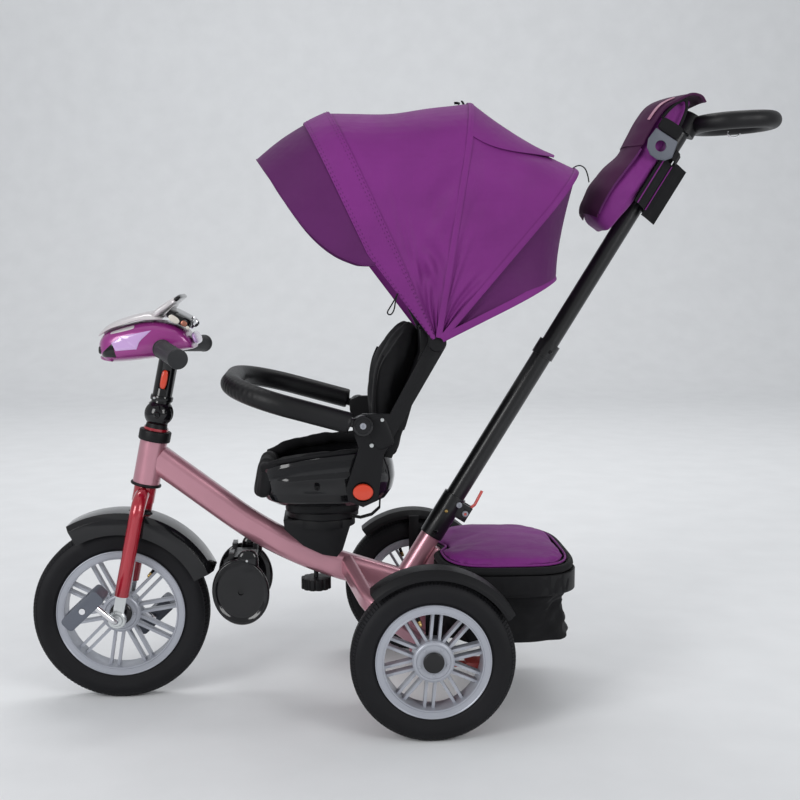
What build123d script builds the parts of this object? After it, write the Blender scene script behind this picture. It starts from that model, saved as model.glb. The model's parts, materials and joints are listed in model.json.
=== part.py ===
from build123d import *
from math import cos, radians, sin
import os

# A children's push tricycle with a steering pole, a turning seat, a folding canopy and a rear trunk.
# Millimetres. +X is forward, +Y is the rider's left and +Z is up. Everything is drawn with the rear axle
# over X = 0 and the ground at Z = 0, and save() then moves it so that the footprint's centre is the origin.

# Driving dimensions
WHEELBASE = 518.0
FRONT_R = 150.0
REAR_R = 130.0
TRACK = 450.0
HANDLE_REACH = 610.0
STEER_TILT = 11.5
REAR_X = (HANDLE_REACH - WHEELBASE - FRONT_R) / 2

# Wheels
TYRE_HALF = 23.0
FRONT_RIM = 109.0
REAR_RIM = 91.0
SPOKE_PAIRS = 10
FRONT_SPOKE = 27.0
REAR_SPOKE = 23.0
AXLE_R = 6.0
RUNNING = 0.05
BRAKE = (22.0, 106.0)
CRANK = 56.0
CRANK_R = 5.0
PEDAL_Y = 104.0

# Frame
MAIN_H = 48.0
MAIN_W = 38.0
MAIN_PATH = [(452.0, 0, 416.3), (240.3, 0, 256.0), (14.0, 0, 185.8)]
MAIN_BEND = 650.0
HEAD_LOW = 229.0
HEAD_TOP = 303.0
STEM_R = 16.5
BALL_S = 350.0
BALL_R = 25.0
BAR_S = 466.0
BAR_X = 12.0
BAR_SWEEP = 0.352
FORK_HALF = 54.0

# Seat, measured on the side view as (x, z)
SEAT_X = 172.0
KNOB_X = 184.0
SEAT_HALF = 126.0
ARM_IN = 128.0
ARM_OUT = 141.0
RECLINE = (106.0, 380.0)
BAR_JOINT = (106.0, 489.0)
BAR_HALF = 149.0
BAR_SLOPE = 15.4
BAR_REACH = 224.0

# Footrests
FOOTREST_X = 308.0
FOOTREST_HINGE = (46.0, 254.0)
FOOTREST_OVAL = (49.0, 56.0)

# Canopy
HUB = (-11.0, 621.0)
CANOPY_HALF = 170.0
BOWS = {"rear": (130.3, 352.0, 147.0), "mid": (98.9, 375.0, 155.0), "front": (64.6, 392.0, 163.0)}
CLOTH = 2.0
CLOTH_GAP = 9.0
CURTAIN = (153.5, 217.0)
VISOR = (50.0, 396.0)

# Push pole: its foot, and the angle it leans back from vertical
POLE_FOOT = (-16.0, 276.0)
POLE_LEAN = 31.5
POLE_JOINT = 378.0
POLE_TOP = 832.0
POLE_R = 17.0
POLE_UPPER_R = 15.0
LOOP = (128.0, 112.0)
LOOP_R = 14.5
LOOP_Z = 983.0
CLIP_HOLE = 9.0

# Trunk
TRUNK_FRONT = -18.0
TRUNK_BACK = -252.0
TRUNK_HALF = 156.0
TRUNK_Z = 208.0
TRUNK_FLOOR = 127.0
TRUNK_TAPER = 15.0

STEER = Location((WHEELBASE, 0, FRONT_R), (0, -STEER_TILT, 0))
POLE = Location((POLE_FOOT[0], 0, POLE_FOOT[1]), (0, -POLE_LEAN, 0))
SIDES = {"left": 1, "right": -1}


def save(name, shape):
    """Write one node, moved from the rear axle to the footprint's centre."""
    moved = Pos(REAR_X, 0, 0) * shape
    export_step(moved, f"parts/{name}.step")


def cyl_y(x, z, y0, y1, r):
    """A cylinder along Y between two Y positions."""
    return Pos(x, (y0 + y1) / 2, z) * Rot(90, 0, 0) * Cylinder(r, abs(y1 - y0))


def cyl_z(x, y, z0, z1, r):
    """A cylinder along Z between two heights."""
    return Pos(x, y, (z0 + z1) / 2) * Cylinder(r, z1 - z0)


def block(x0, x1, y0, y1, z0, z1):
    """A box between two corners."""
    return Pos((x0 + x1) / 2, (y0 + y1) / 2, (z0 + z1) / 2) * Box(x1 - x0, y1 - y0, z1 - z0)


def between(x0, x1, ya, yb, z0, z1):
    """A box whose two Y limits may come in either order."""
    return block(x0, x1, min(ya, yb), max(ya, yb), z0, z1)


def tube(points, r, bend=0.0):
    """A round bar along a polyline whose corners are tangent arcs."""
    path = FilletPolyline(*points, radius=bend) if bend else Polyline(*points)
    section = Plane(origin=path @ 0, z_dir=path % 0) * Circle(r)
    return sweep(section, path=path)


def slab(points, y0, y1, inset=0.0):
    """A side-view outline of (x, z) points, thick from y0 to y1 and moved inward by an inset."""
    outline = make_face(Polyline(*points, close=True))
    if inset:
        outline = offset(outline, amount=-inset, kind=Kind.INTERSECTION)
    return Pos(0, y1, 0) * extrude(Plane.XZ * outline, y1 - y0)


def largest(shape):
    """The biggest solid of a cut shape."""
    return max(shape.solids(), key=lambda piece: piece.volume)


def polar(centre, angle, r):
    """The side-view point at an angle from +X and a radius about a centre."""
    return (centre[0] + r * cos(radians(angle)), centre[1] + r * sin(radians(angle)))


def ring_y(points, angle=360.0):
    """A body turned about the Y axis from an outline of (y, radius) points."""
    return revolve(Plane.YZ * make_face(Polyline(*points, close=True)), Axis.Y, angle)


# ---------------------------------------------------------------- wheels
def tyre(rim, r):
    """A pneumatic tyre: a hollow casing whose open side is closed by the rim."""
    bead = rim - 5
    mid = (rim + r) / 2
    outline = (
        Line((-15, bead), (-15, rim + 0.5))
        + ThreePointArc((-15, rim + 0.5), (-TYRE_HALF, mid), (-14, r - 4))
        + ThreePointArc((-14, r - 4), (0, r), (14, r - 4))
        + ThreePointArc((14, r - 4), (TYRE_HALF, mid), (15, rim + 0.5))
        + Line((15, rim + 0.5), (15, bead))
        + Line((15, bead), (-15, bead))
    )
    section = make_face(outline)
    section -= Pos(0, mid - 1) * Circle((r - rim) / 2 - 5)
    section -= Pos(0, (bead + mid) / 2 - 1) * Rectangle(16, mid - bead)
    return revolve(Plane.YZ * section, Axis.Y, 360)


def rim_with_spokes(rim, bore, first):
    """The rim channel, ten pairs of flat spokes and the hub, in one moulding."""
    channel = [(-19, rim - 14), (-19, rim), (-15, rim), (-15, rim - 5), (15, rim - 5), (15, rim),
               (19, rim), (19, rim - 14)]
    body = ring_y(channel) + cyl_y(0, 0, -16, 16, 33)
    length = rim - 40
    for i in range(SPOKE_PAIRS):
        for side in (-1, 1):
            spoke = Pos(28 + length / 2, 0, side * 6.8) * Box(length, 15, 4.4)
            body += Rot(0, -i * 360 / SPOKE_PAIRS - first, 0) * spoke
    return body - cyl_y(0, 0, -30, 30, bore)


def crank_rod():
    """One chrome rod: the front axle, both cranks and both pedal spindles."""
    lean = radians(43)
    dx, dz = CRANK * cos(lean), CRANK * sin(lean)
    points = [(-dx, -PEDAL_Y - 30, -dz), (-dx, -PEDAL_Y + 26, -dz), (0, -72, 0),
              (0, 72, 0), (dx, PEDAL_Y - 26, dz), (dx, PEDAL_Y + 30, dz)]
    return tube(points, CRANK_R, 9)


def pedal(side):
    """A pedal block that turns on its spindle."""
    lean = radians(43)
    x, z = side * CRANK * cos(lean), side * CRANK * sin(lean)
    y = side * (PEDAL_Y + 6)
    body = Box(76, 46, 25)
    body = fillet(body.edges().filter_by(Axis.Y), 7)
    body -= Pos(22, 0, 0) * Box(14, 34, 40)
    body -= Pos(-22, 0, 0) * Box(14, 34, 40)
    body = Rot(0, 43, 0) * body
    return Pos(x, y, z) * (body - cyl_y(0, 0, -40, 40, CRANK_R + RUNNING))


def build_wheels():
    front = Pos(WHEELBASE, 0, FRONT_R)
    save("front_tyre", front * tyre(FRONT_RIM, FRONT_R))
    save("front_rim", front * rim_with_spokes(FRONT_RIM, CRANK_R, FRONT_SPOKE))
    save("crank_rod", front * crank_rod())
    for name, side in SIDES.items():
        save(f"pedal_{name}", front * pedal(side))
        rear = Pos(0, side * TRACK / 2, REAR_R)
        save(f"rear_tyre_{name}", rear * tyre(REAR_RIM, REAR_R))
        rim = rim_with_spokes(REAR_RIM, AXLE_R + RUNNING, REAR_SPOKE)
        save(f"rear_rim_{name}", rear * rim)


# ---------------------------------------------------------------- frame
def oval_beam(inset=0.0):
    """The main beam's rounded section, swept from the head to the rear axle."""
    path = FilletPolyline(*MAIN_PATH, radius=MAIN_BEND)
    plane = Plane(origin=path @ 0, x_dir=(0, 1, 0), z_dir=path % 0)
    section = RectangleRounded(MAIN_W - 2 * inset, MAIN_H - 2 * inset, 15 - inset)
    return sweep(plane * section, path=path)


def head_tube():
    return STEER * (cyl_z(0, 0, HEAD_LOW, HEAD_TOP, 23) - cyl_z(0, 0, 200, 350, 14))


def headset_cups():
    """The collars above and below the head tube, in which the steerer turns."""
    top = cyl_z(0, 0, HEAD_TOP, HEAD_TOP + 18, 27)
    low = cyl_z(0, 0, HEAD_LOW - 5, HEAD_LOW, 26)
    return STEER * (top + low - cyl_z(0, 0, 200, 350, 12.75))


def stay(side):
    """A chain stay: from the beam outward and down to its lug on the rear axle."""
    path = FilletPolyline((132, side * 4, 230), (96, side * 118, 190), (0, side * 176, 134), radius=60)
    plane = Plane(origin=path @ 0, x_dir=(0, 0, 1), z_dir=path % 0)
    arm = sweep(plane * RectangleRounded(32, 24, 9), path=path)
    lug = cyl_y(0, REAR_R, side * 164, side * 190, 20)
    return arm + lug - cyl_y(0, REAR_R, -300, 300, AXLE_R) - cyl_y(0, REAR_R, -163, 163, 15)


def build_beam(beam_skin):
    """The beam, the head tube on its front end and the collars that hold the steerer."""
    head_core = STEER * cyl_z(0, 0, 200, 350, 23)
    stud = cyl_z(KNOB_X, 0, 190, 300, 4.6)
    save("main_tube", beam_skin - oval_beam(2.5) - head_core - stud)
    save("head_tube", head_tube())
    save("headset_cups", headset_cups())


def build_rear_frame(beam_skin):
    """The upright post, the yoke under it and the axle tube, with a stay on each side."""
    axle_tube = cyl_y(0, REAR_R, -163, 163, 15)
    post = largest(POLE * cyl_z(0, 0, -110, 0, 18) - beam_skin)
    yoke = largest(block(-13, 26, -17, 17, REAR_R, 190) - beam_skin)
    hangers = block(12, 30, -128, -122, 98, 122) + block(12, 30, 122, 128, 98, 122)
    hangers -= cyl_y(*BRAKE, -200, 200, 4 + RUNNING)
    welded = axle_tube + yoke + hangers
    save("rear_post", welded + (post - welded) - cyl_y(0, REAR_R, -200, 200, AXLE_R))
    for name, side in SIDES.items():
        arm = stay(side) - beam_skin - yoke
        arm -= block(-100, 300, -300 * (side > 0), 300 * (side < 0), 0, 400)
        save(f"stay_{name}", largest(arm))
    axle = cyl_y(0, REAR_R, -246, 246, AXLE_R)
    axle += cyl_y(0, REAR_R, 241.5, 248.5, 16.5) + cyl_y(0, REAR_R, -248.5, -241.5, 16.5)
    save("rear_axle", axle)


def build_seat_base(beam_skin):
    """The block that straddles the beam under the seat, and the knob that clamps it."""
    outline = [(238, 314), (236, 298), (205, 270), (172, 254), (148, 250), (138, 262), (122, 314)]
    base = largest(slab(outline, -44, 44) - beam_skin)
    base = base + cyl_z(SEAT_X, 0, 300, 314, 56)
    save("seat_base", base - cyl_z(SEAT_X, 0, 200, 330, 8))
    knob = cyl_z(KNOB_X, 0, 185, 204, 26)
    for i in range(12):
        knob -= Pos(KNOB_X, 0, 0) * Rot(0, 0, i * 30) * cyl_z(28, 0, 180, 220, 4)
    save("seat_knob", knob + cyl_z(KNOB_X, 0, 200, 222, 4))


def build_frame():
    beam_skin = oval_beam()
    build_beam(beam_skin)
    build_rear_frame(beam_skin)
    build_seat_base(beam_skin)


def mudguard(r, inner, half, start, stop, crown=3.0):
    """A channel-section guard over a wheel, between two angles from +X."""
    outline = [(-half, inner), (-half, r - 9), (-half + 9, r), (half - 9, r), (half, r - 9),
               (half, inner), (half - crown, inner), (half - crown, r - 11), (half - 11, r - crown),
               (-half + 11, r - crown), (-half + crown, r - 11), (-half + crown, inner)]
    arch = ring_y(outline, stop - start)
    return Rot(0, 90 - stop, 0) * arch


def build_guards():
    """The front guard turns with the fork and the rear ones stand on the stays."""
    front = Pos(WHEELBASE, 0, FRONT_R) * mudguard(177, 141, 38, 61, 155)
    save("front_fender", front - STEER * cyl_z(0, 0, 150, 300, 20))
    for name, side in SIDES.items():
        guard = Pos(0, side * TRACK / 2, REAR_R) * mudguard(147, 132, 27, 48, 150)
        bracket = between(-9, 9, side * 191, side * 197, REAR_R - 9, REAR_R + 138)
        bracket -= cyl_y(0, REAR_R, -300, 300, AXLE_R)
        bracket += between(-9, 9, side * 191, side * 200, REAR_R + 133, REAR_R + 138)
        save(f"rear_fender_{name}", guard + bracket)


# ---------------------------------------------------------------- fork and handlebar
def fork_body():
    """Steerer, crown and two legs, along the steering axis."""
    route = [(0, -FORK_HALF, 42), (0, -FORK_HALF, 211), (0, FORK_HALF, 211), (0, FORK_HALF, 42)]
    legs = tube(route, 12, 30) - tube(route, 10, 30)
    steerer = cyl_z(0, 0, 200, 324, 12.7) + cyl_z(0, 0, 321.3, 325.5, 21)
    knuckle = cyl_y(0, BALL_S, -9, 9, 14) + block(-11, 11, -9, 9, 322, BALL_S)
    return legs + cyl_z(0, 0, 196, 223.5, 19) + steerer + knuckle + cyl_y(0, BALL_S, -21, 21, 4.95)


def dropouts():
    """The cast eyes at the legs' ends, each with its nut, which carry the front axle."""
    pair = Part()
    for side in (-1, 1):
        y = side * FORK_HALF
        pair += cyl_y(0, 0, y - 3, y + 3, 15) + block(-9, 9, y - 3, y + 3, 0, 42)
        pair += cyl_y(0, 0, side * (FORK_HALF + 3), side * (FORK_HALF + 8), 9)
    return pair - cyl_y(0, 0, -90, 90, CRANK_R + RUNNING)


def stem_body():
    """The folding ball joint's upper half and the stem up to the bar clamp."""
    ball = Pos(0, 0, BALL_S) * Sphere(BALL_R)
    ball -= block(-40, 40, -9.4, 9.4, BALL_S - 40, BALL_S + 15)
    ball -= cyl_z(0, 0, 300, 326, 30)
    shaft = cyl_z(0, 0, BALL_S + 17, BAR_S - 6, STEM_R)
    clamp = cyl_y(BAR_X, BAR_S, -20, 20, 17) + cyl_y(0, BAR_S, -20, 20, STEM_R)
    body = ball + shaft + clamp - cyl_y(BAR_X, BAR_S, -60, 60, 11)
    pocket = block(-7.8, 7.8, 10, 30, 393.6, 426.4)
    return body - pocket - cyl_y(0, BALL_S, -40, 40, 5)


def bar_end(y):
    """The point of the swept-back bar at a distance from the middle."""
    return (BAR_X - max(0, abs(y) - 58) * BAR_SWEEP, y, BAR_S)


def bar_tube(r):
    """A solid bar of a given radius: straight through the clamp, then swept back."""
    return tube([bar_end(-190), bar_end(-58), bar_end(58), bar_end(190)], r, 40)


def handlebar():
    return bar_tube(10.95) - bar_tube(9.2)


def build_steering():
    save("fork", STEER * fork_body())
    save("fork_dropouts", STEER * dropouts())
    save("stem", STEER * stem_body())
    save("handlebar", STEER * handlebar())
    for name, side in SIDES.items():
        skin = tube([bar_end(side * 80), bar_end(side * 196)], 15)
        save(f"grip_{name}", STEER * (skin - tube([bar_end(side * 70), bar_end(side * 190)], 11)))
    save("stem_button", STEER * block(-7.5, 7.5, 13.5, 18.5, 394, 426))
    build_console()


def build_console():
    """The toy dashboard over the handlebar, shaped like a car's nose."""
    nose = [(541, 588), (519, 582), (447, 588), (392, 606), (383, 606), (386, 619), (399, 636),
            (421, 647), (457, 652), (499, 644), (529, 632), (541, 622)]
    shell = slab(nose, -62, 62) - slab(nose, -58, 58, 4)
    shell -= STEER * (cyl_z(BAR_X, 0, BAR_S - 50, BAR_S + 18, 34) + block(-40, BAR_X, -34, 34, 400, 484))
    shell -= STEER * bar_tube(11.4)
    save("console", largest(shell))
    hood = [(457, 652.3), (499, 644.3), (529, 632.3), (541, 622.3), (543, 631), (529, 643),
            (499, 656), (479, 661), (457, 664)]
    glass = [(462, 663), (452, 655), (404, 689), (409, 692)]
    save("console_hood", slab(hood, -54, 54) + slab(glass, -56, 56))
    dash = [(421, 647.4), (399, 636.4), (390, 626), (384, 636), (419, 668), (438, 657), (444, 650.8)]
    knob = Pos(386, 18, 646) * Rot(0, -48.7, 0) * Cylinder(8, 14)
    save("dashboard", slab(dash, -52, 52) + knob)


# ---------------------------------------------------------------- footrests
def along_x(x, y, z, length, r):
    """A cylinder along X about a middle point."""
    return Pos(x, y, z) * Rot(0, 90, 0) * Cylinder(r, length)


def build_footrests():
    """Two oval plates that hang folded and swing outward to the sides."""
    x = FOOTREST_X
    hinge_y, hinge_z = FOOTREST_HINGE
    bracket = block(x - 22, x + 22, -35, 35, 236, 250)
    for side in (-1, 1):
        for a in (-18, 18):
            bracket += between(x + a - 4, x + a + 4, side * 22, side * 52, 236, 260)
        bracket -= along_x(x, side * hinge_y, hinge_z, 80, 4.3)
    save("footrest_bracket", largest(bracket - oval_beam()))
    for name, side in SIDES.items():
        oval = Pos(x, side * 60, 196) * Rot(90, 0, 0) * extrude(Ellipse(*FOOTREST_OVAL), 5, both=True)
        knuckle = along_x(x, side * hinge_y, hinge_z, 27, 7) + along_x(x, side * hinge_y, hinge_z, 46, 4.2)
        neck = between(x - 13, x + 13, side * 46, side * 60, 244, 253)
        save(f"footrest_{name}", oval + knuckle + neck)


# ---------------------------------------------------------------- seat
def arm_outline():
    return [(82, 366), (106, 355), (130, 366), (133, 385), (112, 450), (122, 480), (122, 498),
            (106, 506), (62, 506), (-6, 634), (-26, 630), (-26, 612), (56, 470), (72, 440)]


def build_seat():
    """The moulded pan on its turntable, with raised sides, and the cushion inside it."""
    side = [(284, 379), (279, 410), (262, 430), (200, 437), (110, 440), (64, 437), (47, 414),
            (49, 380), (66, 352), (108, 346), (230, 345), (262, 361)]
    pan = slab(side, -SEAT_HALF, SEAT_HALF) + block(112, 232, -60, 60, 332, 347)
    inner = SEAT_HALF - 12
    pan -= slab([(0, 366), (270, 366), (300, 380), (300, 600), (0, 600)], -inner, inner)
    for s in (-1, 1):
        pan -= cyl_y(*RECLINE, s * 100, s * 140, 9 + RUNNING)
    table = cyl_z(SEAT_X, 0, 314.5, 333, 62) + cyl_z(SEAT_X, 0, 270, 333, 8 - RUNNING)
    save("seat_shell", pan + table)
    pad = [(262, 366.4), (274, 372), (284, 384), (279, 410), (262, 422), (230, 414), (110, 402),
           (96, 392), (94, 366.4)]
    save("seat_cushion", slab(pad, 0.4 - inner, inner - 0.4))


def build_backrest():
    """Arms that pivot at the seat's sides, the moulded back between them and its pad."""
    outline = arm_outline()
    arms = slab(outline, ARM_IN, ARM_OUT) + slab(outline, -ARM_OUT, -ARM_IN)
    for s in (-1, 1):
        arms += cyl_y(*RECLINE, s * 114.5, s * ARM_IN, 9)
        arms -= cyl_y(RECLINE[0], RECLINE[1], s * 134, s * 160, 16.3)
        arms += cyl_y(HUB[0], HUB[1], s * ARM_OUT, s * 168, 6)
        arms += cyl_y(BAR_JOINT[0], BAR_JOINT[1], s * ARM_OUT, s * (BAR_HALF + 6), 5)
    back = [(58, 430), (36, 485), (17, 550), (-4, 604), (2, 634), (13, 640), (13, 604), (32, 552),
            (50, 487), (70, 432)]
    shell = slab(back, -ARM_IN, ARM_IN)
    for s in (-1, 1):
        shell -= between(0, 120, s * 112.5, s * 150, 400, 478)
    save("backrest_frame", arms + shell)
    pad = [(70.4, 432.4), (50.4, 487.4), (32.4, 552.4), (13.4, 604.4), (13.4, 640), (28, 655),
           (46, 655), (73, 612), (90, 575), (97, 523), (94, 440), (88, 428)]
    save("backrest_pad", slab(pad, -112, 112))
    for name, side in SIDES.items():
        save(f"recline_button_{name}", cyl_y(RECLINE[0], RECLINE[1], side * 138.5, side * 146, 16))


def bar_point(u, y):
    """A point of the play bar: u along its slope from the joint."""
    slope = radians(BAR_SLOPE)
    return (BAR_JOINT[0] + u * cos(slope), y, BAR_JOINT[1] + u * sin(slope))


def build_play_bar():
    """The U-shaped safety bar: a steel core in its end lugs, and the foam over it."""
    route = [(26, BAR_HALF), (BAR_REACH, BAR_HALF), (BAR_REACH, -BAR_HALF), (26, -BAR_HALF)]
    grip = [(44, BAR_HALF), (BAR_REACH, BAR_HALF), (BAR_REACH, -BAR_HALF), (44, -BAR_HALF)]
    core = tube([bar_point(*p) for p in route], 7, 118)
    foam = tube([bar_point(*p) for p in grip], 19.5, 118)
    lugs = Part()
    for s in (-1, 1):
        lug = cyl_y(*BAR_JOINT, s * (BAR_HALF - 7), s * (BAR_HALF + 7), 16)
        lug += tube([bar_point(6, s * BAR_HALF), bar_point(43.8, s * BAR_HALF)], 7.2)
        lugs += lug - cyl_y(*BAR_JOINT, s * 100, s * 200, 5.05)
    save("play_bar", core + lugs)
    save("play_bar_foam", foam - core)


# ---------------------------------------------------------------- canopy
def arch(angle, r, half, low=0.0):
    """The four corner points of a bow that leans at an angle about the hub."""
    foot = polar(HUB, angle, low)
    top = polar(HUB, angle, r)
    return [(foot[0], half, foot[1]), (top[0], half, top[1]), (top[0], -half, top[1]),
            (foot[0], -half, foot[1])]


def cloth_section(angle, r, low=12.0, bend=112.0):
    """The cloth's closed section in a bow's plane."""
    outer = arch(angle, r + CLOTH_GAP + CLOTH, CANOPY_HALF + CLOTH, low)
    inner = arch(angle, r + CLOTH_GAP, CANOPY_HALF, low)
    bend = min(bend, (r - low) * 0.8)
    outline = (FilletPolyline(*outer, radius=bend + CLOTH) + Line(outer[3], inner[3])
               + FilletPolyline(*inner, radius=bend) + Line(inner[0], outer[0]))
    return make_face(outline)


def build_canopy():
    """Three bows on one hub, and the cloth panels between them."""
    for name, (angle, r, half) in BOWS.items():
        bow = tube(arch(angle, r, half), 4, 106)
        for s in (-1, 1):
            bow += cyl_y(*HUB, s * (half - 3.5), s * (half + 3.5), 13)
            bow -= cyl_y(*HUB, s * 100, s * 200, 6.05)
        save(f"canopy_bow_{name}", bow)
    rear, mid, front = (cloth_section(angle, r) for angle, r, half in BOWS.values())
    save("canopy_curtain", loft([rear, cloth_section(*CURTAIN)], ruled=True))
    save("canopy_panel_rear", loft([rear, mid], ruled=True))
    save("canopy_panel_front", loft([mid, front], ruled=True))
    edge = cloth_section(*VISOR)
    brow = loft([cloth_section(*VISOR, 140), cloth_section(44.5, 392, 230)], ruled=True)
    save("canopy_visor", loft([front, edge], ruled=True) + brow)


# ---------------------------------------------------------------- push pole
def build_socket():
    """The socket on the frame's post, its two clamp ears and the wire lever between them."""
    socket = cyl_z(0, 0, 0.3, 82, 20.5) - cyl_z(0, 0, 8, 90, POLE_R + 0.1)
    ears = block(-36, -13, -15, -9, 50, 78) + block(-36, -13, 9, 15, 50, 78)
    socket += ears - cyl_z(0, 0, 0, 90, 18)
    save("pole_socket", POLE * (socket - cyl_y(-29, 64, -30, 30, 4)))
    lever = cyl_y(-29, 64, -8.7, 8.7, 6) + cyl_y(-29, 64, -17, 17, 3.95)
    lever += tube([(-29, 0, 64), (-38, 0, 84), (-36, 0, 112)], 2.6, 8)
    save("clamp_lever", POLE * lever)


def build_handle():
    """The foam loop handle and the hub that joins it to the top of the pole."""
    start = Plane(origin=(0, LOOP[1] / 2, 0), z_dir=(1, 0, 0))
    loop = sweep(start * Circle(LOOP_R), path=RectangleRounded(*LOOP, 54).wire())
    reach = HANDLE_REACH - LOOP[0] / 2 - LOOP_R
    loop = Location((-reach, 0, LOOP_Z), (0, 3.5, 0)) * loop
    top = (POLE * Pos(0, 0, POLE_TOP)).position
    hub = Pos(top.X - 2, 0, top.Z - 6) * Rot(0, -POLE_LEAN, 0) * Cylinder(19, 34)
    save("push_handle", hub + loop - POLE * cyl_z(0, 0, 300, POLE_TOP, POLE_UPPER_R))


def build_pole():
    """Two telescoping tubes, and the bag and clip that hang on the upper one."""
    collar = cyl_z(0, 0, POLE_JOINT - 13, POLE_JOINT + 14, 19.5)
    lower = cyl_z(0, 0, 9, POLE_JOINT, POLE_R) + collar
    save("pole_lower", POLE * (lower - cyl_z(0, 0, 20, 500, POLE_UPPER_R + RUNNING)))
    upper = cyl_z(0, 0, 300, POLE_TOP, POLE_UPPER_R) - cyl_z(0, 0, 290, POLE_TOP - 6, 13)
    save("pole_upper", POLE * upper)
    bag = [(16, 602), (60, 606), (69, 618), (69, 792), (54, 846), (22, 862), (16, 846)]
    save("push_bag", POLE * slab(bag, -60, 60))
    clip = block(-6, 38, 60.3, 64.3, 736, 782) - cyl_y(20, 759, 50, 80, CLIP_HOLE)
    clip += block(-20, -15.5, 0, 64.3, 746, 770) + block(-20, -4, 60.3, 64.3, 746, 770)
    save("cup_clip", POLE * (clip - cyl_z(0, 0, 600, 830, POLE_UPPER_R)))


# ---------------------------------------------------------------- trunk and brake
def trunk_outline(inset=0.0):
    """The trunk's rounded plan at a given inset."""
    length = TRUNK_FRONT - TRUNK_BACK - 2 * inset
    plan = RectangleRounded(length, 2 * (TRUNK_HALF - inset), 70 - inset)
    return Pos((TRUNK_FRONT + TRUNK_BACK) / 2, 0, 0) * plan


def tapered(low, low_inset, high, high_inset):
    """The trunk's plan lofted between two heights with an inset at each."""
    return loft([Pos(0, 0, low) * trunk_outline(low_inset), Pos(0, 0, high) * trunk_outline(high_inset)],
                ruled=True)


def build_trunk():
    """The trunk's rigid band, its soft tub and the padded lid hinged at the front."""
    notch = block(-46, 10, -30, 30, 60, 320)
    relief = block(-66, 10, -30, 30, 60, 320)
    band = extrude(Pos(0, 0, TRUNK_Z) * (trunk_outline(1) - trunk_outline(7)), 32)
    arms = sum((block(-26, -12, s * 62 - 8, s * 62 + 8, 118, TRUNK_Z) for s in (-1, 1)), start=Part())
    arms -= cyl_y(0, REAR_R, -200, 200, 15)
    wall = block(-52, -46, -36, 36, TRUNK_Z, TRUNK_Z + 32)
    for s in (-1, 1):
        wall += between(-52, -20, s * 30, s * 36, TRUNK_Z, TRUNK_Z + 32)
    save("trunk_rim", band - notch + wall + arms)
    outer = tapered(TRUNK_FLOOR, TRUNK_TAPER, TRUNK_Z - 0.3, 9)
    inner = tapered(TRUNK_FLOOR + 3, TRUNK_TAPER + 3, TRUNK_Z, 12)
    well = block(-49, 20, -33, 33, 60, 320)
    lining = block(-52, 0, -36, 36, TRUNK_FLOOR, TRUNK_Z - 0.3) - well
    save("trunk_tub", outer - inner - well + (lining & outer))
    lid = extrude(Pos(0, 0, TRUNK_Z + 32.4) * trunk_outline(), 14)
    save("trunk_lid", lid + tapered(TRUNK_Z + 46.4, 3, 268, 48) - relief)


def build_brake():
    """A foot bar hung under the axle tube, with a pedal pad beside each wheel."""
    x, z = BRAKE
    bar = cyl_y(x, z, -186, 186, 4)
    for s in (-1, 1):
        bar += between(-64, x, s * 174, s * 186, z - 4, z + 2.5)
        bar += between(-84, -56, s * 164, s * 196, z - 6, z + 6)
    save("brake_bar", bar)


def main():
    os.makedirs("parts", exist_ok=True)
    build_wheels()
    build_frame()
    build_guards()
    build_steering()
    build_footrests()
    build_seat()
    build_backrest()
    build_play_bar()
    build_canopy()
    build_socket()
    build_pole()
    build_handle()
    build_trunk()
    build_brake()


main()
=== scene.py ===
# %% [markdown]
# # A children's push tricycle
# The rigid pieces, such as the tubes, wheels and joints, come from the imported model, and this lesson gives
# them their finish. Soft or freely curved pieces, such as the canopy, cushions, bag and toy dashboard, are
# modelled here. Every measure is in metres, or in millimetres where a helper's name says so.

# %% Load the fixed frame and keep its size
import json
from math import cos, hypot, pi, radians, sin

import bpy
from mathutils import Matrix, Vector

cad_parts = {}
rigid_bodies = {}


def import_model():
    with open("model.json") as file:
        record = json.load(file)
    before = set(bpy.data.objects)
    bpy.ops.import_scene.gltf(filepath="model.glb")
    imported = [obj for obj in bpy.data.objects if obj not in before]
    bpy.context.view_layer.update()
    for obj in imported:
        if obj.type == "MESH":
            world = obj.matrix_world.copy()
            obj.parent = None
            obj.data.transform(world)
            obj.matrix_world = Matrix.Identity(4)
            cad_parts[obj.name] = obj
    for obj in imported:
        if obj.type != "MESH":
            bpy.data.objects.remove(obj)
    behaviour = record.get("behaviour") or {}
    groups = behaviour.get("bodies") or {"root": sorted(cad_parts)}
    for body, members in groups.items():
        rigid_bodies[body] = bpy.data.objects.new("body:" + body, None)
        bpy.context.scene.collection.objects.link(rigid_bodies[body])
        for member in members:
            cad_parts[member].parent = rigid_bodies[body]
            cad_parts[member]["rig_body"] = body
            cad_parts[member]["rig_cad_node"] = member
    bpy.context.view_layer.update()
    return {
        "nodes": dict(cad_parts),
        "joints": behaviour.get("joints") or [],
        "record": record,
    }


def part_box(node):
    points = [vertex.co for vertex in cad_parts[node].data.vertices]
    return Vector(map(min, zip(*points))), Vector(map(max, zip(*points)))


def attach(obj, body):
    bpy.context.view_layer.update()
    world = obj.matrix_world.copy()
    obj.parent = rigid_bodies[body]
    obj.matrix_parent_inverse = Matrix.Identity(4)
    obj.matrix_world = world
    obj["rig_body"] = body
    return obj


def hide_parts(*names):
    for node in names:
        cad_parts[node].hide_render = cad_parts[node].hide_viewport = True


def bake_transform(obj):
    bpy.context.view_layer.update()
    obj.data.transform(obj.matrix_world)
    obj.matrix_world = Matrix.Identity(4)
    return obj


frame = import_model()
NODES = frame["nodes"]
JOINTS = {joint["name"]: joint for joint in frame["joints"]}

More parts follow.
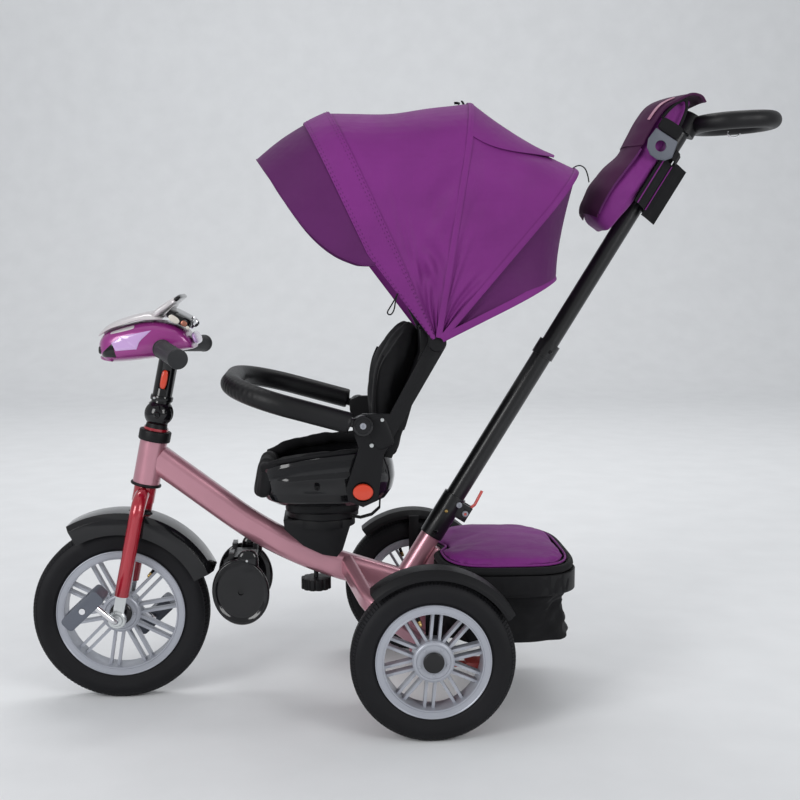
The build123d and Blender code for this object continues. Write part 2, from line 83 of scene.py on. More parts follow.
# %% [markdown]
# ## Three rulers
# A tricycle has three natural rulers: the side view, measured forward from the rear axle and up from the
# floor; the steering axis, which leans back; and the push pole, which leans back further. Each ruler turns
# millimetres on the real thing into a point of the model, and all three are read from the frame's joints.

# %% The side view, the steering axis and the pole as rulers
REAR_AXLE = JOINTS["rear_wheel_left_spin"]["pos_m"][0]
STEER_AT = Vector(JOINTS["steer"]["pos_m"])
STEER_UP = Vector(JOINTS["steer"]["axis"])
POLE_AT = Vector(JOINTS["pole_twist"]["pos_m"])
POLE_UP = Vector(JOINTS["pole_twist"]["axis"])
LEFT = Vector((0, 1, 0))
MM = 0.001


def side(x, z, y=0.0):
    """A point x mm forward of the rear axle, z mm above the floor and y mm to the left."""
    return Vector((REAR_AXLE + x * MM, y * MM, z * MM))


def on_axis(at, up, forward, y, along):
    """A point in mm on a leaning axis: forward of it, to its left and along it."""
    return at + (LEFT.cross(up) * forward + LEFT * y + up * along) * MM


def steer(forward, y, along):
    return on_axis(STEER_AT, STEER_UP, forward, y, along)


def pole(forward, y, along):
    return on_axis(POLE_AT, POLE_UP, forward, y, along)


HUB = Vector(JOINTS["canopy_tilt"]["pos_m"])
print("canopy hub", HUB, "steering axis forward", steer(1, 0, 0) - steer(0, 0, 0))

# %% [markdown]
# ## Camera, floor and light
# The tricycle stands on a seamless pale paper sweep. Two large soft lamps stand beside the camera, so the
# near sides are bright, glossy pieces show two window-like reflections, and upward faces stay darker. A
# weaker lamp overhead and a grey world fill the rest.

# %% Camera at standing height, looking a little down
LOOK_DOWN, LOOK_ASIDE, CAMERA_AT = 6.443, 3.465, (0.130, 2.000, 0.739)
bpy.ops.object.camera_add(location=CAMERA_AT,
                          rotation=(radians(90 - LOOK_DOWN), 0, radians(180 - LOOK_ASIDE)))
camera = bpy.context.object
camera.data.lens = 52.8
bpy.context.scene.camera = camera


# %% A paper sweep: a plane whose far edge is extruded up in a bend
def paper_sweep():
    bpy.ops.mesh.primitive_plane_add(size=12, location=(0, 1.5, 0))
    sweep = bpy.context.object
    sweep.name = "paper_sweep"
    bpy.ops.object.mode_set(mode="EDIT")
    bpy.ops.mesh.select_all(action="DESELECT")
    bpy.ops.object.mode_set(mode="OBJECT")
    for edge in sweep.data.edges:
        edge.select = all(sweep.data.vertices[v].co.y < 0 for v in edge.vertices)
    bpy.ops.object.mode_set(mode="EDIT")
    bpy.ops.mesh.select_mode(type="EDGE")
    steps = 10
    for i in range(steps):
        turn = radians(90) * (i + 0.5) / steps
        step = Vector((0, -cos(turn), sin(turn))) * 0.25
        bpy.ops.mesh.extrude_region_move(TRANSFORM_OT_translate={"value": step})
    bpy.ops.mesh.extrude_region_move(TRANSFORM_OT_translate={"value": (0, 0, 6)})
    bpy.ops.object.mode_set(mode="OBJECT")
    bpy.ops.object.shade_smooth()
    return sweep


def soft_lamp(name, place, size, power, aim=(0, 0, 0.45)):
    bpy.ops.object.light_add(type="AREA", location=place)
    lamp = bpy.context.object
    lamp.name = name
    lamp.data.shape = "RECTANGLE"
    lamp.data.size, lamp.data.size_y = size
    lamp.data.energy = power
    lamp.rotation_euler = (Vector(aim) - Vector(place)).to_track_quat("-Z", "Y").to_euler()


sweep = paper_sweep()
soft_lamp("lamp_front_left", (2.3, 2.4, 1.7), (1.2, 1.8), 50)
soft_lamp("lamp_front_right", (-2.2, 2.6, 1.6), (1.2, 1.8), 40)
soft_lamp("lamp_overhead", (0.2, 0.2, 3.4), (2.6, 2.6), 5)
soft_lamp("lamp_backdrop", (0, -1.6, 3.6), (4.0, 1.2), 75, (0, -3.5, 0.8))
world = bpy.data.worlds.new("studio")
bpy.context.scene.world = world
world.use_nodes = True
world.node_tree.nodes["Background"].inputs["Color"].default_value = (0.88, 0.90, 0.92, 1)
world.node_tree.nodes["Background"].inputs["Strength"].default_value = 0.55
bpy.context.scene.view_settings.view_transform = "Standard"

# %% [markdown]
# ## Materials
# Each finish is a small node tree round one Principled shader. Colour varies a little with a broad noise,
# as paint, moulding and dyed cloth do, roughness varies with a finer one where hands and wear polish it,
# and a bump gives the grain. The patterns read Object coordinates, which on these pieces are real metres,
# so a grain of 900 per metre is about 1 mm.


# %% One builder for a node-based finish
def finish_of(name, colour, rough, variation=0.12, grain=900.0, bump=0.05, depth=0.0003, **shader):
    """A Principled finish with broad colour variation, fine roughness variation and a grain bump."""
    made = bpy.data.materials.new(name)
    made.use_nodes = True
    tree = made.node_tree
    nodes, link = tree.nodes, tree.links.new
    surface = nodes["Principled BSDF"]
    place = nodes.new("ShaderNodeTexCoord").outputs["Object"]
    broad = nodes.new("ShaderNodeTexNoise")
    broad.inputs["Scale"].default_value = 9.0
    broad.inputs["Detail"].default_value = 3.0
    link(place, broad.inputs["Vector"])
    ramp = nodes.new("ShaderNodeValToRGB")
    ramp.color_ramp.elements[0].position, ramp.color_ramp.elements[1].position = 0.3, 0.7
    for element, share in zip(ramp.color_ramp.elements, (1 - variation, 1 + variation)):
        element.color = [min(1, c * share) for c in colour] + [1]
    link(broad.outputs["Fac"], ramp.inputs["Fac"])
    link(ramp.outputs["Color"], surface.inputs["Base Color"])
    fine = nodes.new("ShaderNodeTexNoise")
    fine.inputs["Scale"].default_value = 60.0
    fine.inputs["Detail"].default_value = 4.0
    link(place, fine.inputs["Vector"])
    wear = nodes.new("ShaderNodeMapRange")
    wear.inputs["To Min"].default_value = max(0.02, rough * 0.85)
    wear.inputs["To Max"].default_value = min(1.0, rough * 1.15)
    link(fine.outputs["Fac"], wear.inputs["Value"])
    link(wear.outputs["Result"], surface.inputs["Roughness"])
    if bump:
        speck = nodes.new("ShaderNodeTexNoise")
        speck.inputs["Scale"].default_value = grain
        link(place, speck.inputs["Vector"])
        relief = nodes.new("ShaderNodeBump")
        relief.inputs["Strength"].default_value = bump
        relief.inputs["Distance"].default_value = depth
        link(speck.outputs["Fac"], relief.inputs["Height"])
        link(relief.outputs["Normal"], surface.inputs["Normal"])
    for socket, value in shader.items():
        surface.inputs[socket.replace("_", " ")].default_value = value
    return made


# %% [markdown]
# Cloth is woven, so its bump is made of threads: fine waves along X and Z cross each other, and a third
# set along Y serves the faces that point sideways. A sheen lightens the edges as real fibres do.


# %% A woven finish made of crossing threads
def woven(name, colour, rough=0.75, threads=620.0, bump=0.35, sheen=0.35, variation=0.10, creases=0.0):
    made = finish_of(name, colour, rough, variation, bump=0)
    tree = made.node_tree
    nodes, link = tree.nodes, tree.links.new
    surface = nodes["Principled BSDF"]
    surface.inputs["Specular IOR Level"].default_value = 0.2
    place = nodes["Texture Coordinate"].outputs["Object"]
    height = None
    for axis in "XYZ":
        wave = nodes.new("ShaderNodeTexWave")
        wave.wave_type = "BANDS"
        wave.bands_direction = axis
        wave.inputs["Scale"].default_value = threads / 20
        wave.inputs["Distortion"].default_value = 0.6
        link(place, wave.inputs["Vector"])
        if height is None:
            height = wave.outputs["Fac"]
        else:
            mix = nodes.new("ShaderNodeMath")
            mix.operation = "ADD"
            link(height, mix.inputs[0])
            link(wave.outputs["Fac"], mix.inputs[1])
            height = mix.outputs["Value"]
    relief = nodes.new("ShaderNodeBump")
    relief.inputs["Strength"].default_value = bump
    relief.inputs["Distance"].default_value = 0.0002
    link(height, relief.inputs["Height"])
    if creases:
        fold = nodes.new("ShaderNodeTexNoise")
        fold.inputs["Scale"].default_value = 16.0
        fold.inputs["Distortion"].default_value = 1.2
        link(place, fold.inputs["Vector"])
        soft = nodes.new("ShaderNodeBump")
        soft.inputs["Strength"].default_value = creases
        soft.inputs["Distance"].default_value = 0.006
        link(fold.outputs["Fac"], soft.inputs["Height"])
        link(relief.outputs["Normal"], soft.inputs["Normal"])
        relief = soft
    link(relief.outputs["Normal"], surface.inputs["Normal"])
    surface.inputs["Sheen Weight"].default_value = sheen
    surface.inputs["Sheen Roughness"].default_value = 0.45
    return made


# %% Every finish on the tricycle
FINISH = {
    "pink_paint": finish_of("rose_paint", (0.50, 0.235, 0.29), 0.30, 0.05, 1400, 0.10, Metallic=0.55,
                            Coat_Weight=0.7, Coat_Roughness=0.08),
    "red_paint": finish_of("wine_red_enamel", (0.36, 0.008, 0.022), 0.22, 0.08, 500, 0.05, Metallic=0.25,
                           Coat_Weight=1.0, Coat_Roughness=0.04),
    "zinc": finish_of("bright_zinc", (0.62, 0.64, 0.64), 0.28, 0.15, 700, 0.15, Metallic=1.0),
    "chrome": finish_of("chrome_plate", (0.80, 0.80, 0.82), 0.08, 0.05, 300, 0.03, Metallic=1.0),
    "black_paint": finish_of("black_powder_coat", (0.008, 0.008, 0.009), 0.32, 0.2, 1500, 0.25,
                             Coat_Weight=0.25, Coat_Roughness=0.2, Specular_IOR_Level=0.3),
    "matte_black": finish_of("moulded_black", (0.005, 0.005, 0.006), 0.46, 0.2, 1700, 0.35,
                             Specular_IOR_Level=0.22),
    "gloss_black": finish_of("gloss_black_moulding", (0.005, 0.005, 0.006), 0.12, 0.2, 300, 0.03,
                             Coat_Weight=0.3, Coat_Roughness=0.04, Specular_IOR_Level=0.3),
    "rim_grey": finish_of("silver_grey_moulding", (0.36, 0.375, 0.42), 0.38, 0.06, 1300, 0.2, Metallic=0.35),
    "tyre_rubber": finish_of("tyre_rubber", (0.006, 0.006, 0.0075), 0.60, 0.3, 500, 0.5,
                             Specular_IOR_Level=0.22),
    "foam": finish_of("closed_cell_foam", (0.006, 0.006, 0.007), 0.42, 0.2, 1000, 0.5, depth=0.0005,
                      Specular_IOR_Level=0.28),
    "grip_rubber": finish_of("grip_rubber", (0.016, 0.017, 0.019), 0.55, 0.2, 1200, 0.5,
                             Specular_IOR_Level=0.3),
    "purple_cloth": woven("purple_satin_weave", (0.165, 0.020, 0.172), 0.62, sheen=0.04, creases=0.30),
    "black_cloth": woven("black_oxford_weave", (0.006, 0.006, 0.007), 0.80, 480, 0.5, 0.03, creases=0.3),
    "purple_plastic": finish_of("pearl_purple_moulding", (0.27, 0.026, 0.20), 0.24, 0.06, 900, 0.05,
                                Metallic=0.15, Coat_Weight=0.6, Coat_Roughness=0.08),
    "silver_plastic": finish_of("metallised_silver", (0.64, 0.61, 0.62), 0.30, 0.06, 800, 0.08, Metallic=0.35,
                                Coat_Weight=0.5),
    "grey_plastic": finish_of("slate_grey_moulding", (0.085, 0.095, 0.12), 0.45, 0.1, 1500, 0.4),
    "orange_plastic": finish_of("orange_red_moulding", (0.56, 0.045, 0.016), 0.30, 0.06, 1200, 0.1,
                                Coat_Weight=0.3),
    "coral_paint": finish_of("coral_red_paint", (0.62, 0.09, 0.075), 0.35, 0.08, 1200, 0.15, Coat_Weight=0.4),
}
DARK_PURPLE = woven("purple_shade_weave", (0.085, 0.012, 0.090), 0.66, sheen=0.04, creases=0.30)
PLUM_MESH = woven("plum_air_mesh", (0.052, 0.009, 0.044), 0.74, 240, 1.0, 0.03)
LILAC = finish_of("lilac_lens", (0.50, 0.32, 0.60), 0.10, 0.05, 300, 0.02, Coat_Weight=1.0)
CREAM = finish_of("cream_moulding", (0.62, 0.58, 0.52), 0.30, 0.06, 900, 0.1)
COPPER = finish_of("copper_moulding", (0.40, 0.16, 0.11), 0.30, 0.06, 900, 0.1, Metallic=0.6)
ROSE_TAPE = finish_of("rose_reflective_tape", (0.36, 0.15, 0.23), 0.35, 0.05, 900, 0.1)
BRASS = finish_of("yellow_brass", (0.60, 0.42, 0.16), 0.25, 0.1, 700, 0.1, Metallic=1.0)
PAPER = finish_of("studio_paper", (0.75, 0.76, 0.775), 0.9, 0.02, 300, 0.05)
sweep.data.materials.append(PAPER)

# %% Put the finishes on the rigid pieces
SLOT_OF = {sub["node"]: sub["material_slot"] for sub in frame["record"]["subparts"]}
for node, obj in NODES.items():
    obj.data.materials.clear()
    obj.data.materials.append(FINISH[SLOT_OF[node]])
print(len(NODES), "CAD pieces have their finish")

# %% [markdown]
# ## Helpers for modelling
# An operator works on whatever is selected, so each piece starts from a clean selection. A piece is
# finished by freezing its place into its mesh, giving it a finish and saying which body it rides on.


# %% Selecting, freezing and finishing
def only(obj):
    """Make one object the selected and active one, in object mode."""
    if bpy.context.object and bpy.context.object.mode != "OBJECT":
        bpy.ops.object.mode_set(mode="OBJECT")
    bpy.ops.object.select_all(action="DESELECT")
    obj.select_set(True)
    bpy.context.view_layer.objects.active = obj
    return obj


def modify(obj, kind, **settings):
    """Add a modifier and apply it."""
    only(obj)
    modifier = obj.modifiers.new(kind.lower(), kind)
    for key, value in settings.items():
        setattr(modifier, key, value)
    bpy.ops.object.modifier_apply(modifier=modifier.name)
    return obj


def edit(obj, *steps):
    """Run mesh operators on a piece in edit mode, from everything selected."""
    only(obj)
    bpy.ops.object.mode_set(mode="EDIT")
    bpy.ops.mesh.select_all(action="SELECT")
    for step in steps:
        step()
    bpy.ops.object.mode_set(mode="OBJECT")
    return obj


def outward():
    bpy.ops.mesh.normals_make_consistent(inside=False)


def pick_faces(obj, test):
    """Select only the faces whose centre and normal pass a test, and no other part of the mesh."""
    only(obj)
    mesh = obj.data
    for group in (mesh.vertices, mesh.edges):
        group.foreach_set("select", [False] * len(group))
    for face in mesh.polygons:
        face.select = test(face.center, face.normal)


def edit_picked(obj, test, *steps):
    """Run mesh operators on the faces that pass a test."""
    pick_faces(obj, test)
    bpy.ops.object.mode_set(mode="EDIT")
    bpy.ops.mesh.select_mode(type="FACE")
    for step in steps:
        step()
    bpy.ops.object.mode_set(mode="OBJECT")
    return obj


def done(obj, name, body, finish, slot=None, angle=35, replaces=()):
    """Freeze, smooth, name and finish a piece, and hang it on its body."""
    only(obj)
    obj.name = obj.data.name = name
    bpy.ops.object.transform_apply(location=True, rotation=True, scale=True)
    bpy.ops.object.shade_smooth_by_angle(angle=radians(angle))
    obj.data.materials.clear()
    obj.data.materials.append(FINISH[finish] if isinstance(finish, str) else finish)
    if slot or isinstance(finish, str):
        slot or finish
    if body:
        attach(obj, body)
    if replaces:
        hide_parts(*replaces)
    return obj


# %% [markdown]
# Three ways of making a blank serve most pieces. A grid laid by a rule of two numbers makes any sheet or
# shell. A ball pulled by a rule makes any closed soft form. A rounded line makes rods, wires and piping.


# %% Sheets, soft forms and rods
def sheet_by(rule, columns, rows, wrap=False):
    """A grid laid by rule(u, v) with u and v from 0 to 1. wrap joins its v edges into a tube."""
    bpy.ops.object.select_all(action="DESELECT")
    bpy.ops.mesh.primitive_grid_add(x_subdivisions=columns, y_subdivisions=rows, size=1)
    obj = bpy.context.object
    for vertex in obj.data.vertices:
        vertex.co = rule(vertex.co.x + 0.5, vertex.co.y + 0.5)
    if wrap:
        edit(obj, lambda: bpy.ops.mesh.remove_doubles(threshold=0.00002), outward)
    return obj


def soft_form(rule, around=48, rings=32):
    """A ball whose every direction (x, y, z) is moved to rule(x, y, z)."""
    bpy.ops.object.select_all(action="DESELECT")
    bpy.ops.mesh.primitive_uv_sphere_add(segments=around, ring_count=rings, radius=1)
    obj = bpy.context.object
    for vertex in obj.data.vertices:
        vertex.co = rule(*vertex.co)
    edit(obj, outward)
    return obj


def box_dir(x, y, z, power):
    """A ball direction stretched towards a rounded box; a higher power is squarer."""
    size = (abs(x) ** power + abs(y) ** power + abs(z) ** power) ** (1 / power)
    return x / size, y / size, z / size


def soft_box(at, half, power, around, rings, lean=0.0):
    """A rounded box in the side ruler: its middle (x, z) and half sizes (x, y, z); lean pulls its top back."""
    def rule(x, y, z):
        bx, by, bz = box_dir(x, y, z, power)
        return side(at[0] + half[0] * bx - lean * bz, at[1] + half[2] * bz, half[1] * by)

    return soft_form(rule, around, rings)


def rod(points, r, order=2, closed=False, sides=3):
    """A round rod along points: order 2 keeps its corners, 3 rounds them."""
    bpy.ops.object.select_all(action="DESELECT")
    bpy.ops.curve.primitive_nurbs_path_add()
    obj = bpy.context.object
    curve = obj.data
    curve.splines.clear()
    spline = curve.splines.new("NURBS")
    spline.points.add(len(points) - 1)
    for point, place in zip(spline.points, points):
        point.co = (*place, 1)
    spline.order_u = order
    spline.use_endpoint_u = not closed
    spline.use_cyclic_u = closed
    spline.resolution_u = 6 if order > 2 else 1
    curve.dimensions = "3D"
    curve.bevel_depth = r
    curve.bevel_resolution = sides
    curve.use_fill_caps = True
    only(obj)
    bpy.ops.object.convert(target="MESH")
    return edit(bpy.context.object, lambda: bpy.ops.mesh.remove_doubles(threshold=0.00001), outward)


def turned(at, axis, outline, sides=32):
    """A lathe piece: rings of (radius, height) in mm along an axis from a point, closed at both ends."""
    spin = Vector(axis).normalized().to_track_quat("Z", "Y").to_matrix()

    def rule(u, v):
        r, h = outline[min(len(outline) - 1, int(round(u * (len(outline) - 1))))]
        a = 2 * pi * v
        return Vector(at) + spin @ Vector((r * cos(a), r * sin(a), h)) * MM

    return sheet_by(rule, len(outline) - 1, sides, wrap=True)


def joined(pieces):
    """Join several meshes into one."""
    only(pieces[0])
    for piece in pieces[1:]:
        piece.select_set(True)
    bpy.ops.object.join()
    return bpy.context.object


# %% Values read along a list
def smooth_list(pairs, x):
    """A value on a curve through (x, value) pairs."""
    k = max(i for i in range(len(pairs) - 1) if pairs[i][0] <= x or i == 0)
    before, after = pairs[max(0, k - 1)], pairs[min(len(pairs) - 1, k + 2)]
    (x1, y1), (x2, y2) = pairs[k], pairs[k + 1]
    t = min(1.0, max(0.0, (x - x1) / (x2 - x1)))
    slope_1 = (y2 - before[1]) / max(1e-6, x2 - before[0]) * (x2 - x1)
    slope_2 = (after[1] - y1) / max(1e-6, after[0] - x1) * (x2 - x1)
    return ((2 * t ** 3 - 3 * t ** 2 + 1) * y1 + (t ** 3 - 2 * t ** 2 + t) * slope_1
            + (3 * t ** 2 - 2 * t ** 3) * y2 + (t ** 3 - t ** 2) * slope_2)


def signed(value, power):
    return (abs(value) ** power) * (1 if value >= 0 else -1)


def along_list(pairs, x):
    """Straight interpolation in a list of (x, value) pairs."""
    for (x0, y0), (x1, y1) in zip(pairs, pairs[1:]):
        if x <= x1:
            return y0 + (y1 - y0) * max(0.0, (x - x0) / (x1 - x0))
    return pairs[-1][1]


# %% [markdown]
# Moulded and cast pieces have no knife edges. A copy of each blocky rigid piece has its loose triangles
# merged and its sharp edges rounded, so that they catch the light, and stands in for the piece.


# %% Round the edges of the moulded pieces
def rounded_copy(node, width=1.2, angle=38, segments=3):
    only(NODES[node])
    bpy.ops.object.duplicate()
    obj = bpy.context.object
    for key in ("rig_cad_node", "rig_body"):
        if key in obj:
            del obj[key]
    obj.parent = None
    edit(obj, lambda: bpy.ops.mesh.remove_doubles(threshold=0.00002),
         lambda: bpy.ops.mesh.dissolve_limited(angle_limit=radians(1.0)))
    modify(obj, "BEVEL", width=width * MM, segments=segments, limit_method="ANGLE",
           angle_limit=radians(angle), use_clamp_overlap=True, harden_normals=False)
    body = next(name for name, members in frame["record"]["behaviour"]["bodies"].items() if node in members)
    return done(obj, node + "_rounded", body, SLOT_OF[node], angle=40, replaces=[node])


ROUNDED = {"seat_base": 3.0, "pedal_left": 3.0, "pedal_right": 3.0, "footrest_bracket": 1.5,
           "rear_fender_left": 1.2, "rear_fender_right": 1.2, "front_fender": 1.4, "seat_knob": 1.2,
           "backrest_frame": 3.0, "pole_socket": 1.0, "brake_bar": 1.5,
           "stem": 1.0, "rear_axle": 2.0, "headset_cups": 2.0}
for node, width in ROUNDED.items():
    rounded_copy(node, width)
print(len(ROUNDED), "moulded pieces rounded")

# %% [markdown]
# ## Tyres
# A pneumatic tyre is one turned section. Here the section is drawn as a closed outline and spun about the
# axle. The tread is then cut in: every tread face is inset and pushed in on its own, which leaves blocks
# with grooves between them, and two fine ribs run round the sidewall.


# %% Spin a tyre and cut its tread
def tyre(name, body, centre, r, rim, half=23.0, steps=132):
    mid, top = (r + rim) / 2, r - 4
    outline = [(-15, rim - 4), (-16.5, rim + 1), (-20, rim + 5), (-22.4, mid - 4), (-half, mid + 1),
               (-22.0, mid + 7), (-19.0, top - 4), (-14.5, top + 0.6), (-9, r - 1.0), (-3, r),
               (3, r), (9, r - 1.0), (14.5, top + 0.6), (19.0, top - 4), (22.0, mid + 7), (half, mid + 1),
               (22.4, mid - 4), (20, rim + 5), (16.5, rim + 1), (15, rim - 4)]
    bpy.ops.object.select_all(action="DESELECT")
    bpy.ops.mesh.primitive_circle_add(vertices=len(outline), radius=0.02)
    obj = bpy.context.object
    for vertex, (y, radius) in zip(obj.data.vertices, outline):
        vertex.co = (0, y * MM, radius * MM)
    edit(obj, lambda: bpy.ops.mesh.spin(steps=steps, angle=2 * pi, center=(0, 0, 0), axis=(0, 1, 0)),
         lambda: bpy.ops.mesh.select_all(action="SELECT"),
         lambda: bpy.ops.mesh.remove_doubles(threshold=0.00005), outward)

    def on_tread(centre_of_face, normal):
        radius = hypot(centre_of_face.x, centre_of_face.z)
        return radius > (top - 3) * MM

    edit_picked(obj, on_tread, lambda: bpy.ops.mesh.inset(thickness=0.9 * MM, depth=1.1 * MM,
                                                          use_individual=True))
    for vertex in obj.data.vertices:
        radius = hypot(vertex.co.x, vertex.co.z)
        if radius > (r + 0.05) * MM:
            vertex.co.x *= r * MM / radius
            vertex.co.z *= r * MM / radius
    obj.location = centre
    return done(obj, name, body, "tyre_rubber", angle=28, replaces=[name.replace("_tread", "")])


FRONT_AXLE = Vector(JOINTS["front_wheel_spin"]["pos_m"])
FRONT_R, REAR_R = FRONT_AXLE.z / MM, JOINTS["rear_wheel_left_spin"]["pos_m"][2] / MM
FRONT_RIM = (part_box("front_rim")[1].z - FRONT_AXLE.z) / MM
REAR_RIM = (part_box("rear_rim_left")[1].z - REAR_R * MM) / MM
tyre("front_tyre_tread", "front_wheel", FRONT_AXLE, FRONT_R, FRONT_RIM)
for hand in ("left", "right"):
    axle = Vector(JOINTS[f"rear_wheel_{hand}_spin"]["pos_m"])
    tyre(f"rear_tyre_{hand}_tread", f"rear_wheel_{hand}", axle, REAR_R, REAR_RIM)
print("tyres", FRONT_R, REAR_R, "on rims", FRONT_RIM, REAR_RIM)

# %% [markdown]
# ## Wheel details
# A round-headed rivet is turned once and copied to its places. Each hub has a raised ring and five rivets on
# both faces, and each rim has a valve stem with a brass cap that stands inward between two spokes.


# %% Rivets, bolts and hub rings
def rivet(at, axis, r, height=0.45):
    outline = [(0, -1), (r, -1), (r, r * height * 0.4), (r * 0.86, r * height * 0.8),
               (r * 0.5, r * height), (r * 0.3, r * height), (0.1, r * height * 0.8)]
    return turned(at, axis, outline, 16)


def bolt(at, axis, r):
    """A button-head bolt with a round socket."""
    outline = [(0, -1), (r, -1), (r, r * 0.35), (r * 0.8, r * 0.62), (r * 0.5, r * 0.66),
               (r * 0.45, r * 0.2), (0.1, r * 0.2)]
    return turned(at, axis, outline, 18)


def hub_details(name, body, centre, face, rim, first):
    pieces, valve = [], []
    for s in (-1, 1):
        ring = [(24, -2), (31, -2), (31.5, 1.2), (30, 2.2), (27.5, 2.2), (26.5, 0.6), (20, 0.4), (20, -2)]
        pieces.append(turned(centre + LEFT * s * face * MM, LEFT * s, ring, 48))
        for i in range(5):
            a = radians(first + 72 * i)
            at = centre + Vector((cos(a) * 23, 0, sin(a) * 23)) * MM + LEFT * s * (face + 0.5) * MM
            pieces.append(rivet(at, LEFT * s, 2.6))
        edge = [(rim - 13.5, -1), (rim - 13.5, 1.6), (rim - 12, 1.9), (rim - 10.5, 0.4), (rim - 2.5, 0.4),
                (rim - 1.2, 1.5), (rim - 0.2, 1.2), (rim - 0.2, -1)]
        pieces.append(turned(centre + LEFT * s * 19 * MM, LEFT * s, edge, 96))
    done(joined(pieces), name + "_trim", body, "rim_grey", angle=32)
    a = radians(first + 18)
    inward = Vector((-cos(a), 0, -sin(a)))
    root = centre - inward * (rim - 6) * MM
    stem = [(0, 0), (4.2, 0), (4.2, 6), (3.2, 9), (3.0, 22), (0, 22)]
    done(turned(root, inward, stem, 16), name + "_valve", body, "tyre_rubber")
    cap = [(0, 20), (3.6, 20), (3.6, 24), (3.3, 24.6), (3.6, 25.2), (3.6, 28), (2.6, 29.5), (0, 29.5)]
    done(turned(root, inward, cap, 16), name + "_valve_cap", body, BRASS, slot="zinc")
    return valve


hub_details("front_wheel", "front_wheel", FRONT_AXLE, 16, FRONT_RIM, 110)
for hand in ("left", "right"):
    hub_details(f"rear_wheel_{hand}", f"rear_wheel_{hand}", Vector(JOINTS[f"rear_wheel_{hand}_spin"]["pos_m"]),
                16, REAR_RIM, 52)

# %% Hub discs and the nuts on the crank
hub_disc = [(6, -3), (19, -3), (19, 1.5), (17.5, 3), (12, 4), (8, 4.5), (6, 4.5)]
discs = [turned(FRONT_AXLE + LEFT * s * 17 * MM, LEFT * s, hub_disc, 40) for s in (-1, 1)]
done(joined(discs), "front_hub_discs", "front_wheel", "gloss_black")
eye_ring = [(5.4, 0), (14.6, 0), (14.8, 1.2), (13.4, 2.4), (10.6, 2.4), (9.6, 1.4), (5.4, 1.4)]
eyes = [turned(FRONT_AXLE + LEFT * s * 57 * MM, LEFT * s, eye_ring, 36) for s in (-1, 1)]
done(joined(eyes), "fork_eye_rings", "fork", "zinc")

# %% [markdown]
# ## The canopy
# Three hoops turn on one hub at each side, and cloth is stretched between them. Seen from the side a hoop is
# a straight line at its own angle; seen along that line it is an upside-down U. So one rule gives any point
# of the cloth: how far along the U, and which angle. Between two hoops the cloth runs straight, as pulled
# cloth does, sags a few millimetres and creases where it bunches near the hub.

# %% The hoop's U and its place at an angle
BOWS = {"rear": (130.3, 363.0), "mid": (98.9, 386.0), "front": (64.6, 403.0)}
CURTAIN_EDGE = (153.5, 228.0)
CLOTH_HALF, CLOTH_BEND, CLOTH_LOW = 172.0, 112.0, 9.0


def hoop(v, top, half=CLOTH_HALF, low=CLOTH_LOW, bend=CLOTH_BEND):
    """The U at v from 0 to 1: (sideways, outward) in mm, and the direction that faces out of the cloth."""
    bend = min(bend, (top - low) * 0.8)
    leg, arc, top_run = top - bend - low, bend * pi / 2, 2 * (half - bend)
    total = 2 * leg + 2 * arc + top_run
    s = (v if v <= 0.5 else 1 - v) * total
    hand = 1 if v <= 0.5 else -1
    if s < leg:
        return hand * half, low + s, hand, 0.0
    if s < leg + arc:
        a = (s - leg) / bend
        return hand * (half - bend + bend * cos(a)), top - bend + bend * sin(a), hand * cos(a), sin(a)
    return hand * (half - bend - (s - leg - arc)), top, 0.0, 1.0


def from_hub(angle, out, y):
    """A point out mm from the hub at an angle above the horizon, y mm to the left."""
    return HUB + Vector((cos(radians(angle)) * out, y, sin(radians(angle)) * out)) * MM


def faced(angle, face_y, face_out):
    """The direction out of the cloth at a hoop's angle."""
    return Vector((cos(radians(angle)) * face_out, face_y, sin(radians(angle)) * face_out))


def cloth_point(u, v, first, second, sag=5.0, lift=0.0, creases=()):
    """Cloth between two hoops: u runs from the first to the second and v along the U."""
    places, facing = [], []
    for (angle, top), share in ((first, 1 - u), (second, u)):
        y, out, face_y, face_out = hoop(v, top)
        places.append(from_hub(angle, out, y) * share)
        facing.append(faced(angle, face_y, face_out) * share)
    face = (facing[0] + facing[1]).normalized()
    drop = sag * 4 * u * (1 - u)
    out = hoop(v, (1 - u) * first[1] + u * second[1])[1]
    gather = 1.6 * sin(u * 7 * pi) * max(0.0, 1 - out / 150) * (1 - abs(2 * u - 1) ** 6)
    for u0, v0, wide, long, across, along, deep in creases:
        mirrored = v0 if v < 0.5 else 1 - v0
        du, dv = (u - u0) / wide, (v - mirrored) / long
        hand = 1 if v < 0.5 else -1
        drop += deep * 2.718 ** -(du * du + dv * dv) * sin(across * (u - u0) + hand * along * (v - mirrored))
    edge = 1 - abs(2 * u - 1) ** 8
    return places[0] + places[1] + face * (lift - drop * edge + gather) * MM


def cloth_shell(obj, thickness=1.1):
    """Give a sheet its thickness inward and merge nothing."""
    return modify(obj, "SOLIDIFY", thickness=thickness * MM, offset=-1, use_even_offset=False)


def flat_area(obj):
    return sum(face.area for face in obj.data.polygons)


